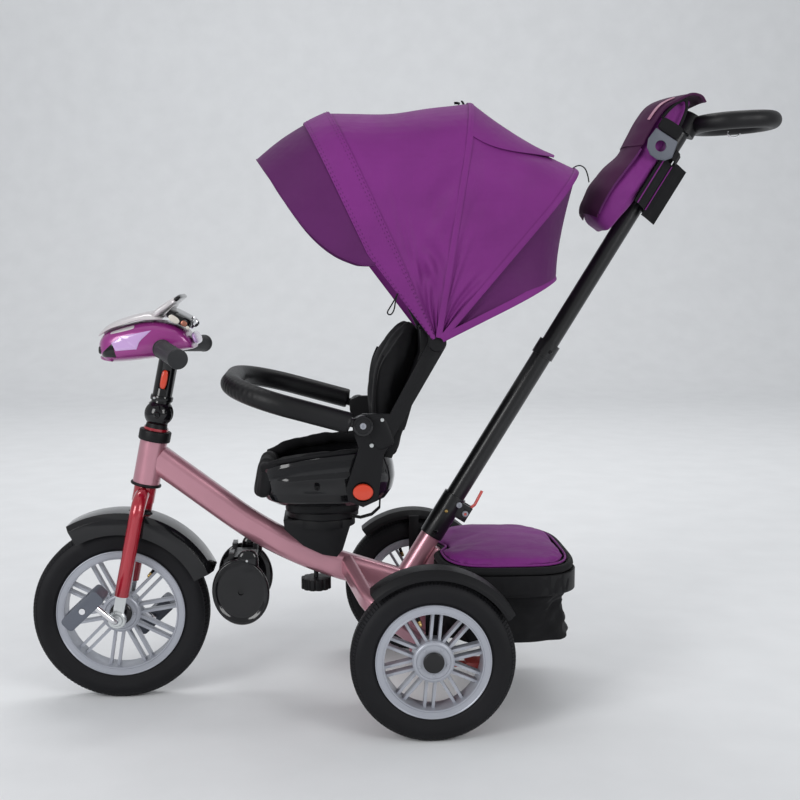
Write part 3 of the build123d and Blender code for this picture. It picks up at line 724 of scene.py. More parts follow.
def sheet_of(name, finish, rule, columns, rows, held="stretched", thickness=1.1, slot="purple_cloth"):
    """A cloth piece: laid by its rule, measured flat, then thickened. It returns the piece and its cut."""
    obj = sheet_by(rule, columns, rows)
    area = flat_area(obj)
    width = max((rule(1, k / 8) - rule(0, k / 8)).length for k in range(9)) * 1.03
    length = max(area / width * 1.05, sum((rule(0.5, (k + 1) / 40) - rule(0.5, k / 40)).length
                                          for k in range(40)))
    facing = obj.data.polygons[len(obj.data.polygons) // 2]
    if facing.normal.dot(facing.center - Vector((HUB.x, 0, HUB.z - 0.1))) < 0:
        edit(obj, bpy.ops.mesh.flip_normals)
    cloth_shell(obj, thickness)
    done(obj, name, None, finish, slot=slot, angle=60)
    print(name, "cut", round(width, 3), "x", round(length, 3), "m, area", round(area, 4))
    return obj, (width, length), area, held


def declare(made):
    obj, flat, area, held = made
    min(area, flat[0] * flat[1])


# %% [markdown]
# A panel between two hoops belongs to both. Here its place is only frozen into its mesh, and it rides on no body.


# %% Freeze a panel between two hoops in place
def between_bows(obj):
    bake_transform(obj)


# %% The two panels, the rear curtain and their creases
FRONT_CREASES = [(0.25, 0.20, 0.22, 0.05, 9, 60, 5.3), (0.35, 0.12, 0.25, 0.04, -14, 90, 4.8),
                 (0.18, 0.29, 0.16, 0.04, 10, 70, 3.5), (0.60, 0.08, 0.25, 0.05, 16, 60, 4.4),
                 (0.72, 0.16, 0.10, 0.08, 30, 20, 2.6), (0.45, 0.40, 0.3, 0.10, 6, 12, 3.3)]
REAR_CREASES = [(0.55, 0.22, 0.3, 0.05, 7, 55, 3.5), (0.30, 0.08, 0.25, 0.04, 20, 60, 4.0),
                (0.80, 0.12, 0.12, 0.09, 26, 18, 3.3), (0.5, 0.35, 0.3, 0.08, 5, 30, 3.3)]
panel_front = sheet_of("canopy_panel_front_cloth", FINISH["purple_cloth"],
                       lambda u, v: cloth_point(u, v, BOWS["mid"], BOWS["front"], 5, 0, FRONT_CREASES),
                       36, 220)
panel_rear = sheet_of("canopy_panel_rear_cloth", FINISH["purple_cloth"],
                      lambda u, v: cloth_point(u, v, BOWS["rear"], BOWS["mid"], 6, 0, REAR_CREASES), 30, 220)
curtain = sheet_of("canopy_curtain_cloth", DARK_PURPLE,
                   lambda u, v: cloth_point(u, v, CURTAIN_EDGE, BOWS["rear"], 7, 0,
                                            [(0.5, 0.2, 0.4, 0.06, 6, 40, 1.6)]), 20, 200)
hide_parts("canopy_panel_front")
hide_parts("canopy_panel_rear")
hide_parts("canopy_curtain")
between_bows(panel_front[0])
between_bows(panel_rear[0])
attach(curtain[0], "canopy_rear")

# %% [markdown]
# The front hoop runs in a double-stitched sleeve, a strip that follows the hoop and narrows to the hub. The
# sun visor is tucked under its front edge: its lower edge sweeps down at the sides in a curve, which is
# given as the angle that it reaches at each distance from the hub.

# %% The front sleeve and the sun visor
FRONT = BOWS["front"]
FORWARD = Vector((sin(radians(FRONT[0])), 0, -cos(radians(FRONT[0]))))
SLEEVE = 40.0


def sleeve_point(u, v, lift=1.4, back=-5.0, wide=SLEEVE, low=CLOTH_LOW):
    y, out, face_y, face_out = hoop(v, FRONT[1], low=low)
    place = from_hub(FRONT[0], out, y)
    width = min(1.0, 0.22 + (out - 24) / 190)
    puffed = 1.6 * sin(pi * u) ** 0.5 if 0 < u < 1 else 0
    face = faced(FRONT[0], face_y, face_out)
    return place + FORWARD * (back + (wide - back) * u) * width * MM + face * (lift + puffed) * MM


VISOR_EDGE = [(150, 53.5), (160, 49.0), (172, 45.4), (208, 41.3), (257, 40.6), (329, 43.0),
              (368, 44.6), (410, 45.7)]


def visor_point(u, v):
    start = sleeve_point(0.93, v, lift=-1.6, low=150)
    y, out, _, _ = hoop(v, FRONT[1] + 4, low=150)
    end = from_hub(smooth_list(VISOR_EDGE, out), out, y)
    place = start.lerp(end, u)
    bulge = 3.0 * sin(pi * u)
    return place + (place - HUB).normalized() * bulge * MM


sleeve = sheet_of("canopy_front_sleeve", FINISH["purple_cloth"], sleeve_point, 8, 220, thickness=1.0)
visor = sheet_of("canopy_visor_cloth", DARK_PURPLE, visor_point, 16, 180, thickness=2.2)
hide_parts("canopy_visor")
for piece in (sleeve[0], visor[0]):
    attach(piece, "canopy_front")
edge = [visor_point(1.0, k / 120) for k in range(121)]
brim = done(rod(edge, 1.1 * MM, order=3), "canopy_visor_binding", "canopy_front", DARK_PURPLE,
            slot="purple_cloth")

# %% [markdown]
# Seams are narrow felled strips with two rows of stitches. A stitch is a tiny rounded bar; hundreds of them
# are one mesh, so each has only a few faces.


# %% Felled seams, hems and stitches
def strip_along(name, body, finish, base, facing, across, wide, lift=0.9, rows=160, slot="purple_cloth"):
    """A narrow strip of cloth along base(v), as wide as given and raised off the cloth."""
    def rule(u, v):
        rise = lift * (1 - (2 * u - 1) ** 4) + 0.15
        return base(v) + across(v) * (u - 0.5) * wide * MM + facing(v) * rise * MM

    obj = sheet_by(rule, 6, rows)
    modify(obj, "SOLIDIFY", thickness=0.7 * MM, offset=-1)
    return done(obj, name, body, finish, slot=slot, angle=60)


def stitches(name, body, lines, colour, length=2.6, gap=4.6, r=0.35, slot="purple_cloth"):
    """Rows of small stitches: each is a four-sided bar along its line, given as (points, facing)."""
    verts, faces = [], []
    for points, facing in lines:
        left = 0.0
        for k, (a, b) in enumerate(zip(points, points[1:])):
            run = (b - a).length / MM
            if run < 1e-6:
                continue
            along, out = (b - a).normalized(), facing[k]
            wide = along.cross(out).normalized()
            while left + length < run:
                start = a + along * left * MM
                base = len(verts)
                for t, high in ((0, 0.1), (length * 0.5, 1.0), (length, 0.1)):
                    middle = start + along * t * MM + out * r * high * MM
                    verts += [middle + wide * r * MM, middle + out * r * MM, middle - wide * r * MM]
                for j in (0, 3):
                    for i in (0, 1):
                        faces.append((base + j + i, base + j + i + 1, base + j + i + 4, base + j + i + 3))
                left += gap
            left = max(0.0, left - run)
    mesh = bpy.data.meshes.new(name)
    mesh.from_pydata(verts, [], faces)
    obj = bpy.data.objects.new(name, mesh)
    bpy.context.scene.collection.objects.link(obj)
    return done(obj, name, body, colour, slot=slot)


def bow_line(bow, lift=0.0, steps=150):
    """Points on the cloth along a hoop, and the way the cloth faces at each."""
    angle, top = bow
    points, facing = [], []
    for k in range(steps + 1):
        y, out, face_y, face_out = hoop(k / steps, top)
        face = faced(angle, face_y, face_out)
        points.append(from_hub(angle, out, y) + face * lift * MM)
        facing.append(face)
    return points, facing


for bow, wide in (("mid", 9.0), ("rear", 9.0)):
    angle, top = BOWS[bow]
    turn = Vector((sin(radians(angle)), 0, -cos(radians(angle))))
    points, facing = bow_line(BOWS[bow])
    count = len(points) - 1
    strip_along(f"canopy_{bow}_seam", "canopy_" + bow, FINISH["purple_cloth"],
                lambda v, p=points, n=count: p[int(round(v * n))],
                lambda v, f=facing, n=count: f[int(round(v * n))], lambda v, t=turn: t, wide, rows=count)
    rows = []
    for shift in (-2.6, 2.6):
        rows.append(([p + turn * shift * MM + f * 1.0 * MM for p, f in zip(points, facing)], facing))
    stitches(f"canopy_{bow}_stitches", "canopy_" + bow, rows, DARK_PURPLE)

lines = []
for u in (0.06, 0.16, 0.86, 0.95):
    points = [sleeve_point(u, k / 150, 1.5) for k in range(151)]
    lines.append((points, bow_line(FRONT)[1]))
stitches("canopy_sleeve_stitches", "canopy_front", lines, DARK_PURPLE)
hem, hem_faces = bow_line(CURTAIN_EDGE)
hem_turn = Vector((sin(radians(CURTAIN_EDGE[0])), 0, -cos(radians(CURTAIN_EDGE[0]))))
strip_along("canopy_curtain_hem", "canopy_rear", FINISH["purple_cloth"],
            lambda v: hem[int(round(v * 150))] + hem_turn * 3.5 * MM,
            lambda v: hem_faces[int(round(v * 150))], lambda v: hem_turn, 11, 1.2, rows=150)

# %% [markdown]
# At the top a loose flap covers the rear window. It hangs from the middle seam, so it follows the rear
# panel with a small gap that grows towards its free edge, and its corners droop.


# %% The window flap, the elastic loops and the hub caps
def flap_point(u, v):
    reach = 0.78 * u
    low = 0.318 + 0.075 * u * u
    lift = 2.0 + 3.5 * u * u + 0.8 * sin(v * 23) * u
    return cloth_point(1 - reach, low + (1 - 2 * low) * v, BOWS["rear"], BOWS["mid"], 6, lift)


flap = sheet_of("canopy_window_flap", FINISH["purple_cloth"], flap_point, 22, 120, held="hung")
between_bows(flap[0])

loop_top = from_hub(BOWS["mid"][0], BOWS["mid"][1] + 2, 0)
LOOP_PATH = [(0, -6, -2), (2, -7, 8), (7, 0, 13), (2, 7, 8), (0, 6, -2)]
TOGGLE_PATH = [(9, 0, 7), (13, 1, 9), (18, 0, 8)]
TIE_PATH = [(0, 0, -2), (-8, 0, 8), (-22, 1, 14), (-34, 2, 4), (-37, 2, -16)]


def cord_from(root, path, r):
    """A short elastic cord along a path in mm from its root."""
    return rod([root + Vector(p) * MM for p in path], r * MM, order=3)


loops = [cord_from(loop_top, LOOP_PATH, 1.1), cord_from(loop_top, TOGGLE_PATH, 2.2)]
done(joined(loops), "canopy_mid_toggle", "canopy_mid", "black_cloth")
hook_root = from_hub(BOWS["rear"][0], BOWS["rear"][1] + 1, 0)
done(cord_from(hook_root, TIE_PATH, 1.1), "canopy_rear_tie", "canopy_rear", "black_cloth")
root = sleeve_point(0.96, 0.085, 1.0)
drop = [(0, 0, 0), (4, 2, -7), (13, 3, -22), (18, 3, -30), (12, 3, -34), (6, 3, -26), (4, 2, -10), (1, 0, 0)]
done(cord_from(root, drop, 1.1), "canopy_hanging_loop", "canopy_front", "black_cloth")

caps = []
for s in (-1, 1):
    at = Vector((HUB.x, 0, HUB.z)) + LEFT * s * 163 * MM
    caps.append(turned(at, LEFT * s, [(0.1, -4), (14, -4), (14.5, 2), (12.5, 5), (0.1, 5.5)], 36))
done(joined(caps), "canopy_hub_caps", "backrest", "matte_black")
declare(panel_front)
declare(panel_rear)
declare(curtain)
declare(visor)
declare(sleeve)
declare(flap)

# %% [markdown]
# ## The toy dashboard
# The moulded nose is one closed surface: at each station along its length it has a top, a bottom and a
# half width, and its section is a squarish oval. The lamps and the mouth are thin patches laid on the same
# surface, so they follow its curve exactly.

# %% The nose and the patches on it
NOSE_TOP = [(383, 608), (386, 619), (399, 636), (421, 647.5), (457, 652), (499, 644), (529, 632), (541, 618)]
NOSE_LOW = [(383, 604), (392, 603), (420, 597), (447, 589), (519, 582.5), (533, 588), (541, 602)]
NOSE_HALF = [(383, 50), (399, 57), (420, 60.5), (457, 62), (490, 60), (515, 55), (530, 47), (541, 30)]


def nose_section(x, extra=0.0):
    top, low = smooth_list(NOSE_TOP, x) + extra, smooth_list(NOSE_LOW, x) - extra
    return (top + low) / 2, max(0.5, (top - low) / 2), smooth_list(NOSE_HALF, x) + extra


def nose_point(u, v, squareness=0.62):
    """Stations bunch towards both ends, which close to a point."""
    x = 462 - 79 * cos(pi * u)
    middle, high, half = nose_section(x)
    shut = min(1.0, (1 - abs(2 * u - 1) ** 14))
    a = 2 * pi * v
    return side(x, middle + high * signed(sin(a), squareness) * shut,
                half * signed(cos(a), squareness) * shut)


def nose_side(x, z, squareness=0.62):
    """How far out the nose's side is at a place on it."""
    middle, high, half = nose_section(x)
    rise = min(0.999, abs((z - middle) / high)) ** (1 / squareness)
    return half * (1 - rise * rise) ** (squareness / 2)


def side_patch(corners, lift, s, columns=14, rows=10, thickness=1.2, round_ends=0.0):
    """A thin patch on the nose's side, between four (x, z) corners in order."""
    a, b, c, d = (Vector(corner) for corner in corners)

    def rule(u, v):
        pinch = 1 - round_ends * abs(2 * u - 1) ** 6
        w = 0.5 + (v - 0.5) * pinch
        place = a.lerp(b, u).lerp(d.lerp(c, u), w)
        swell = lift * (1 - 0.6 * max(abs(2 * u - 1), abs(2 * v - 1)) ** 8)
        return side(place.x, place.y, s * (nose_side(place.x, place.y) + swell))

    obj = sheet_by(rule, columns, rows)
    if s < 0:
        edit(obj, bpy.ops.mesh.flip_normals)
    middle_face = obj.data.polygons[len(obj.data.polygons) // 2]
    if middle_face.normal.y * s < 0:
        edit(obj, bpy.ops.mesh.flip_normals)
    return modify(obj, "SOLIDIFY", thickness=thickness * MM, offset=-1)


nose = sheet_by(nose_point, 72, 64, wrap=True)
done(nose, "console_nose", "handlebar", "purple_plastic", angle=60, replaces=["console"])
both = (-1, 1)
lamps = [side_patch([(508, 603), (515, 616), (499, 627), (474, 606)], 1.3, s) for s in both]
lamps += [side_patch([(474, 605), (499, 627), (449, 637), (468, 619)], 1.1, s) for s in both]
done(joined(lamps), "console_headlamps", "handlebar", LILAC, slot="silver_plastic")
strips = [side_patch([(517, 634), (518, 629.5), (478, 639), (478, 645.5)], 1.6, s, round_ends=0.5)
          for s in both]
done(joined(strips), "console_lamp_strips", "handlebar", "silver_plastic")
mouths = [side_patch([(534, 592), (531, 600), (513, 616), (508, 592)], 0.9, s) for s in both]
mouths.append(soft_box((535, 603), (6.5, 38, 8), 4, 32, 16))
done(joined(mouths), "console_mouth", "handlebar", "gloss_black")
lip = [side(540 - 24 * (abs(y) / 44) ** 2.4, 590 - 3.0 * (abs(y) / 44), y) for y in range(-44, 45, 8)]
done(rod(lip, 2.6 * MM, order=3), "console_bumper", "handlebar", "purple_plastic")


# %% [markdown]
# A bright shell is the bonnet, and a raked plate behind it is the windscreen. The instrument panel is a
# tilted black bar with small round dials at its ends and one chromed knob.


# %% The bonnet, the windscreen and the instruments
def bar_form(at, half, lean, power=4, around=40, rings=20, taper=0.0):
    """A rounded bar: half sizes (x, y, z) in mm, leaning back by an angle, its +X end thinner by a taper."""
    turn = Matrix.Rotation(-radians(lean), 3, "Y")

    def rule(x, y, z):
        bx, by, bz = box_dir(x, y, z, power)
        thin = 1 - taper * (bx + 1) / 2
        return side(*at) + turn @ Vector((bx * half[0], by * half[1] * (1 - 0.15 * taper * (bx + 1)),
                                          bz * half[2] * thin)) * MM

    return soft_form(rule, around, rings)


HOOD_LOW = [(433, 655), (453, 654), (472, 653.5), (499, 646), (517, 640), (530, 633), (541, 626)]
HOOD_TOP = [(433, 658), (453, 666), (472, 663.5), (499, 656), (517, 649), (530, 641), (541, 630)]
HOOD_HALF = [(433, 49), (472, 53), (505, 50), (525, 42), (541, 24)]


def hood_point(u, v):
    x = 433 + 108 * u
    low, top, half = (smooth_list(pairs, x) for pairs in (HOOD_LOW, HOOD_TOP, HOOD_HALF))
    y = 2 * v - 1
    crease = 1.6 * 2.718 ** -((abs(y) - 0.62) / 0.08) ** 2
    return side(x, low + (top - low) * (1 - abs(y) ** 4) ** 0.6 - crease, half * y)


hood = sheet_by(hood_point, 40, 44)
if hood.data.polygons[900].normal.z < 0:
    edit(hood, bpy.ops.mesh.flip_normals)
modify(hood, "SOLIDIFY", thickness=1.6 * MM, offset=-1)
screen = bar_form((429, 674, 0), (29, 50, 5.4), -35, taper=-0.2)
thin_screen = bar_form((424, 667, 0), (14, 45, 1.2), -48)
tip = bar_form((408, 688.5, 0), (7, 50.5, 4.4), -35)
done(joined([hood, screen, thin_screen]), "console_hood_shell", "handlebar", "silver_plastic", angle=40,
     replaces=["console_hood"])
done(tip, "console_screen_tip", "handlebar", "gloss_black")
panel = bar_form((406, 655, 0), (24, 52, 9), 27.8)
done(panel, "dashboard_panel", "handlebar", "gloss_black", replaces=["dashboard"])
DIALS = [("oval", (413, 654.5), (10, 5.4), CREAM), ("copper", (397, 647.5), (5.5, 4.6), COPPER),
         ("dot", (391, 640.5), (3.4, 2.8), CREAM)]
for name, at, size, finish in DIALS:
    dials = [bar_form((at[0], at[1], s * 51.5), (size[0], 1.6, size[1]), 33, power=2.4, around=28, rings=12)
             for s in both]
    done(joined(dials), f"dashboard_{name}_dials", "handlebar", finish, slot="silver_plastic")
turn_knob = [(0, -3), (6, -3), (6, 2), (8.6, 4), (9, 8), (8.6, 12), (7, 14), (3, 14.8), (0, 14.8)]
knob_axis = Vector((-sin(radians(48.7)), 0, cos(radians(48.7))))
knob = turned(side(389, 643.5, 18), knob_axis, turn_knob, 28)
done(knob, "dashboard_knob", "handlebar", "chrome")
tail = bar_form((381.5, 622, 0), (4.5, 44, 11), -22, power=3)
done(tail, "console_tail_lens", "handlebar", LILAC, slot="silver_plastic")

# %% [markdown]
# ## The stem and the grips
# The folding stem carries a stop ring above its ball, and each grip ends in a flange and has fine ridges.

# %% The stem's ring, its bolts and the grip flanges
ring = [(16, 0), (18.6, 0.5), (19.2, 2), (19.2, 7), (18.4, 9), (16, 9.5)]
done(turned(steer(0, 0, 372), STEER_UP, ring, 48), "stem_stop_ring", "handlebar", "gloss_black")
done(joined([bolt(steer(10, s * 18.4, 377), LEFT * s, 2.4) for s in both]), "stem_bolts", "handlebar", "zinc")
boot = [(26, 0), (26.5, 3), (24.5, 11), (20.5, 18), (18, 26), (17.2, 33)]
done(turned(steer(0, 0, 303), STEER_UP, [(17, 0)] + boot, 48), "steerer_boot", "fork", "matte_black")
done(joined([bolt(steer(0, s * 24.2, 350), LEFT * s, 5.5) for s in both]), "stem_ball_caps", "handlebar",
     "gloss_black")


def button_rule(x, y, z):
    bx, by, bz = box_dir(x, y, z, 3)
    return steer(5.6 * bx, 15.8 + 3.4 * by, 410 + 16 * bz)


done(soft_form(button_rule, 32, 20), "stem_button_oval", "stem_button", "orange_plastic", angle=60,
     replaces=["stem_button"])
plate = bar_form((0, 0, 0), (1.2, 8, 13), 0)
for vertex in plate.data.vertices:
    local = (vertex.co - side(0, 0)) / MM
    vertex.co = steer(20.2 + local.x, local.y, 268 + local.z)
done(plate, "head_badge_plate", "frame", COPPER, slot="zinc")


def grip_line(y):
    """The middle of the swept bar at a distance from the middle of the machine."""
    return steer(12 - max(0, abs(y) - 58) * 0.352, y, 466)


flanges, ridges = [], []
for s in both:
    outward_axis = (grip_line(s * 190) - grip_line(s * 100)).normalized()
    flange = [(14.2, -5), (15, -3), (15.8, 0), (15.8, 4.5), (15, 6.4), (11, 7), (0.1, 7)]
    flanges.append(turned(grip_line(s * 190), outward_axis, flange, 36))
    flanges.append(turned(grip_line(s * 80), outward_axis, [(11, 0), (15.8, 0), (15.8, 4), (14.4, 6)], 36))
    for k in range(9):
        ridge = [(14.4, -1.5), (15.1, -1), (15.1, 1), (14.4, 1.5)]
        ridges.append(turned(grip_line(s * (98 + 9.5 * k)), outward_axis, ridge, 36))
done(joined(flanges + ridges), "grip_ridges", "handlebar", "grip_rubber")

# %% [markdown]
# ## The play bar
# A foam tube is slid over the steel hoop. Where it goes round the two bends it wrinkles a little on the
# inside. It stops against round cuffs beside the joints.

# %% The foam tube, its cuffs and the joint caps
BAR_AT = Vector(JOINTS["play_bar_lift"]["pos_m"])
BAR_SLOPE = radians(15.4)
BAR_HALF, BAR_REACH, BAR_BEND, FOAM_START = 149.0, 224.0, 104.0, 17.0


def bar_place(forward, y, up=0.0):
    """A point on the sloping bar's plane, in mm from the joint's line."""
    along = Vector((cos(BAR_SLOPE), 0, sin(BAR_SLOPE)))
    normal = Vector((-sin(BAR_SLOPE), 0, cos(BAR_SLOPE)))
    return Vector((BAR_AT.x, 0, BAR_AT.z)) + (along * forward + normal * up + LEFT * y) * MM


def bar_path(s):
    """The hoop's middle line at s from 0 to 1: straight, bend, front, bend, straight."""
    leg, arc, front = BAR_REACH - BAR_BEND - FOAM_START, BAR_BEND * pi / 2, 2 * (BAR_HALF - BAR_BEND)
    total = 2 * leg + 2 * arc + front
    d = s * total
    if d > total / 2:
        forward, y = bar_path(1 - s)
        return forward, -y
    if d < leg:
        return FOAM_START + d, BAR_HALF
    if d < leg + arc:
        a = (d - leg) / BAR_BEND
        return FOAM_START + leg + BAR_BEND * sin(a), BAR_HALF - BAR_BEND + BAR_BEND * cos(a)
    return BAR_REACH, BAR_HALF - BAR_BEND - (d - leg - arc)


def foam_point(u, v):
    s = 0.003 + 0.994 * u
    forward, y = bar_path(s)
    ahead, ahead_y = bar_path(min(1, s + 0.002))
    behind, behind_y = bar_path(max(0, s - 0.002))
    run = Vector((ahead - behind, ahead_y - behind_y)).normalized()
    a = 2 * pi * v
    shut = 1 - max(0, abs(2 * u - 1) * 60 - 59) ** 2 * 0.25
    ends = 0.0 if u in (0, 1) else 1.0
    r = 17.3 * shut * (1 - 0.7 * (1 - ends))
    bent = 2.718 ** -(((abs(2 * s - 1)) - 0.36) / 0.14) ** 2
    inside = max(0.0, cos(a))
    r -= bent * inside ** 2 * (0.5 + 0.6 * sin(s * 420))
    roll = 1.6 - y * 0.023
    return bar_place(forward - run.y * r * cos(a), y + run.x * r * cos(a), r * sin(a) + roll)


foam = sheet_by(foam_point, 260, 36, wrap=True)
edit(foam, outward)
done(foam, "play_bar_foam_tube", "play_bar", "foam", angle=50, replaces=["play_bar_foam"])
seam = [foam_point(k / 160, 0.62) for k in range(1, 160)]
done(rod(seam, 0.55 * MM, sides=1), "play_bar_foam_seam", "play_bar", "foam")
caps, squares = [], []
for s in both:
    at = Vector((BAR_AT.x, 0, BAR_AT.z)) + LEFT * s * 155 * MM
    cap = [(0, -3), (16.6, -3), (17, 0), (16, 2.4), (12.5, 3.2), (12, 2.2), (7, 2.2), (0.1, 2.2)]
    caps.append(turned(at, LEFT * s, cap, 36))
    squares.append(bolt(at + LEFT * s * 2 * MM, LEFT * s, 5.2))
done(joined(caps), "play_bar_joint_caps", "play_bar", "gloss_black")
done(joined(squares), "play_bar_joint_bolts", "play_bar", "rim_grey")

# %% [markdown]
# ## Padded cloth
# Real padding is cloth pulled tight over foam. To get its shape, a closed blank is remeshed into even faces
# and blown up a little by the cloth solver with gravity off, so it swells between its edges as foam does.
# The swelling is capped, so that it stays in the room it has. Seams and piping are laid on afterwards.


# %% Swell a blank into a padded piece
def padded(blank, swell, voxel=6.0, frames=14, pinned=None, pressure=4.0):
    """Swell a closed blank by at most swell mm. pinned(place) keeps a vertex where it is."""
    only(blank)
    bpy.ops.object.transform_apply(location=True, rotation=True, scale=True)
    modify(blank, "REMESH", mode="VOXEL", voxel_size=voxel * MM, use_smooth_shade=True)
    modify(blank, "SMOOTH", factor=0.5, iterations=3)
    held = blank.vertex_groups.new(name="held")
    if pinned:
        held.add([v.index for v in blank.data.vertices if pinned(v.co)], 1.0, "REPLACE")
    start = [v.co.copy() for v in blank.data.vertices]
    cloth = blank.modifiers.new("cloth", "CLOTH")
    cloth.settings.quality = 5
    cloth.settings.mass = 0.2
    cloth.settings.use_pressure = True
    cloth.settings.uniform_pressure_force = pressure
    cloth.settings.tension_stiffness = 12
    cloth.settings.bending_stiffness = 0.8
    cloth.settings.effector_weights.gravity = 0
    cloth.settings.vertex_group_mass = "held" if pinned else ""
    cloth.collision_settings.use_collision = False
    for frame_number in range(1, frames + 1):
        bpy.context.scene.frame_set(frame_number)
    only(blank)
    bpy.ops.object.modifier_apply(modifier="cloth")
    bpy.context.scene.frame_set(1)
    for vertex, place in zip(blank.data.vertices, start):
        moved = vertex.co - place
        if moved.length > swell * MM:
            vertex.co = place + moved.normalized() * swell * MM
    blank.vertex_groups.clear()
    modify(blank, "SUBSURF", levels=1)
    return blank


def wobble(p, *waves):
    """Sum of small ripples: each wave is (height mm, x, y, z repeats per metre, shift)."""
    return sum(high * sin(2 * pi * (p.x * a + p.y * b + p.z * c) + shift) for high, a, b, c, shift in waves)


def crumple(obj, *waves, where=None):
    """Push a piece's vertices along their normals by the ripples, where a rule allows it."""
    normals = [v.normal.copy() for v in obj.data.vertices]
    for vertex, normal in zip(obj.data.vertices, normals):
        share = where(vertex.co) if where else 1.0
        vertex.co += normal * wobble(vertex.co, *waves) * share * MM
    return obj


# %% [markdown]
# ## The seat
# The pan is a moulded bucket: its plan is a rounded square, its sides lean in towards the turntable, and its
# rim dips towards the front. It is made as one shell from the rim down, then turned over into the inside.


# %% The pan
SEAT_MID, SEAT_LONG, SEAT_WIDE = 168.0, 112.0, 126.0
RIM = [(50, 434), (90, 441), (120, 440), (160, 436), (205, 430), (245, 421), (268, 411), (284, 402)]


def pan_point(u, v):
    """u runs from the middle of the floor inside, over the rim and down to the turntable; v goes round."""
    a = 2 * pi * v
    cx, cy = signed(cos(a), 0.55), signed(sin(a), 0.55)
    rim_x = SEAT_MID + SEAT_LONG * cx
    rim_z = along_list(RIM, rim_x)
    stations = [(0.0, 0.0, 366), (0.12, 0.55, 366), (0.22, 0.82, 368), (0.30, 0.89, 380),
                (0.40, 0.915, rim_z - 6), (0.44, 0.93, rim_z - 1.0), (0.48, 0.96, rim_z),
                (0.52, 0.985, rim_z - 1.5), (0.56, 0.995, rim_z - 7),
                (0.62, 1.0, rim_z - 22), (0.70, 0.995, 392), (0.78, 0.965, 372), (0.84, 0.90, 357),
                (0.90, 0.78, 348.5), (0.95, 0.60, 346), (1.0, 0.0, 346)]
    for (u0, s0, z0), (u1, s1, z1) in zip(stations, stations[1:]):
        if u <= u1 + 1e-9:
            t = (u - u0) / (u1 - u0)
            scale, z = s0 + (s1 - s0) * t, z0 + (z1 - z0) * t
            break
    x = SEAT_MID + SEAT_LONG * cx * scale
    y = SEAT_WIDE * cy * scale
    if u > 0.56 and cx < 0:
        x -= 8 * max(0.0, -cx) ** 2 * sin(pi * min(1.0, (u - 0.56) / 0.34)) * (1 if abs(cy) < 0.9 else 0.6)
    if u > 0.6 and abs(cy) > 0.8:
        ridge = 392 + 14 * (1 - (x - 60) / 200)
        fade = min(1, max(0, (SEAT_MID + 88 - x) / 30))
        y += (2.2 if cy > 0 else -2.2) * 2.718 ** -((z - ridge) / 4.5) ** 2 * fade
        hollow = ((x - 182) / 26) ** 2 + ((z - 384) / 11) ** 2
        y -= (3.0 if cy > 0 else -3.0) * 2.718 ** -(hollow ** 2)
    return side(x, z, y)


pan = sheet_by(pan_point, 100, 180, wrap=True)
edit(pan, outward)
done(pan, "seat_bucket", "seat", "gloss_black", angle=50, replaces=["seat_shell"])
TABLE_LINE = [(0.1, 0), (59, 0), (62, 2), (62, 12), (60.5, 14), (60.5, 18), (64, 21), (66, 26), (64, 32.5),
              (0.1, 32.5)]
table = turned(side(172, 314.8), (0, 0, 1), TABLE_LINE, 64)
done(table, "seat_turntable", "seat", "matte_black")
skirt = bar_form((172, 338, 0), (63, 64, 13), 0, power=5)
done(skirt, "seat_skirt", "seat", "matte_black")
screws = [bolt(side(180, 384, s * 123.6), LEFT * s, 4.2) for s in both]
done(joined(screws), "seat_side_screws", "seat", "matte_black")
STRAP_LINE = [(121, 322, 50), (108, 322, 62), (90, 330, 76), (77, 343, 82), (76, 363, 82)]
STRAP_WIDE = 16


def strap_point(u, v):
    k = min(3, int(u * 4))
    start, end = side(*STRAP_LINE[k]), side(*STRAP_LINE[k + 1])
    return start.lerp(end, u * 4 - k) + LEFT * (v - 0.5) * STRAP_WIDE * MM


strap = sheet_by(strap_point, 20, 4)
modify(strap, "SOLIDIFY", thickness=2.2 * MM, offset=0)
done(strap, "seat_side_strap", "seat", "black_cloth")

# %% [markdown]
# The cushion fills the pan and laps over its front edge as a soft lip. Its sides rise into low bolsters.


# %% The cushion, its front lip and its piping
def cushion_rule(x, y, z):
    bx, by, bz = box_dir(x, y, z, 5)
    plan_x, plan_y = signed(bx, 1.0), signed(by, 1.0)
    cx = 176 + 94 * plan_x
    top = 398 + 10 * abs(by) ** 4 + 8 * max(0.0, -bx) ** 3
    if bz > 0:
        height = 384 + (top - 384) * bz
    else:
        height = 384 + 16 * bz
    front = max(0.0, bx) ** 6
    return side(cx, height + front * 6, 109 * plan_y)


cushion = soft_form(cushion_rule, 72, 40)
padded(cushion, 12, voxel=6, pressure=3.0)
crumple(cushion, (1.0, 14, 3, 0, 0.3), (0.7, 4, 19, 5, 1.1), (0.4, 31, 7, 11, 2.0))
done(cushion, "seat_cushion_pad", "seat", "black_cloth", angle=60, replaces=["seat_cushion"])


def lip_rule(x, y, z):
    bx, by, bz = box_dir(x, y, z, 4)
    lean = -9 * bz * (1 if bz < 0 else 0.5)
    return side(268 + 13 * bx + lean * 0.8 - 9 * abs(by) ** 4, 386 + 30 * bz + 3 * (1 - by * by), 106 * by)


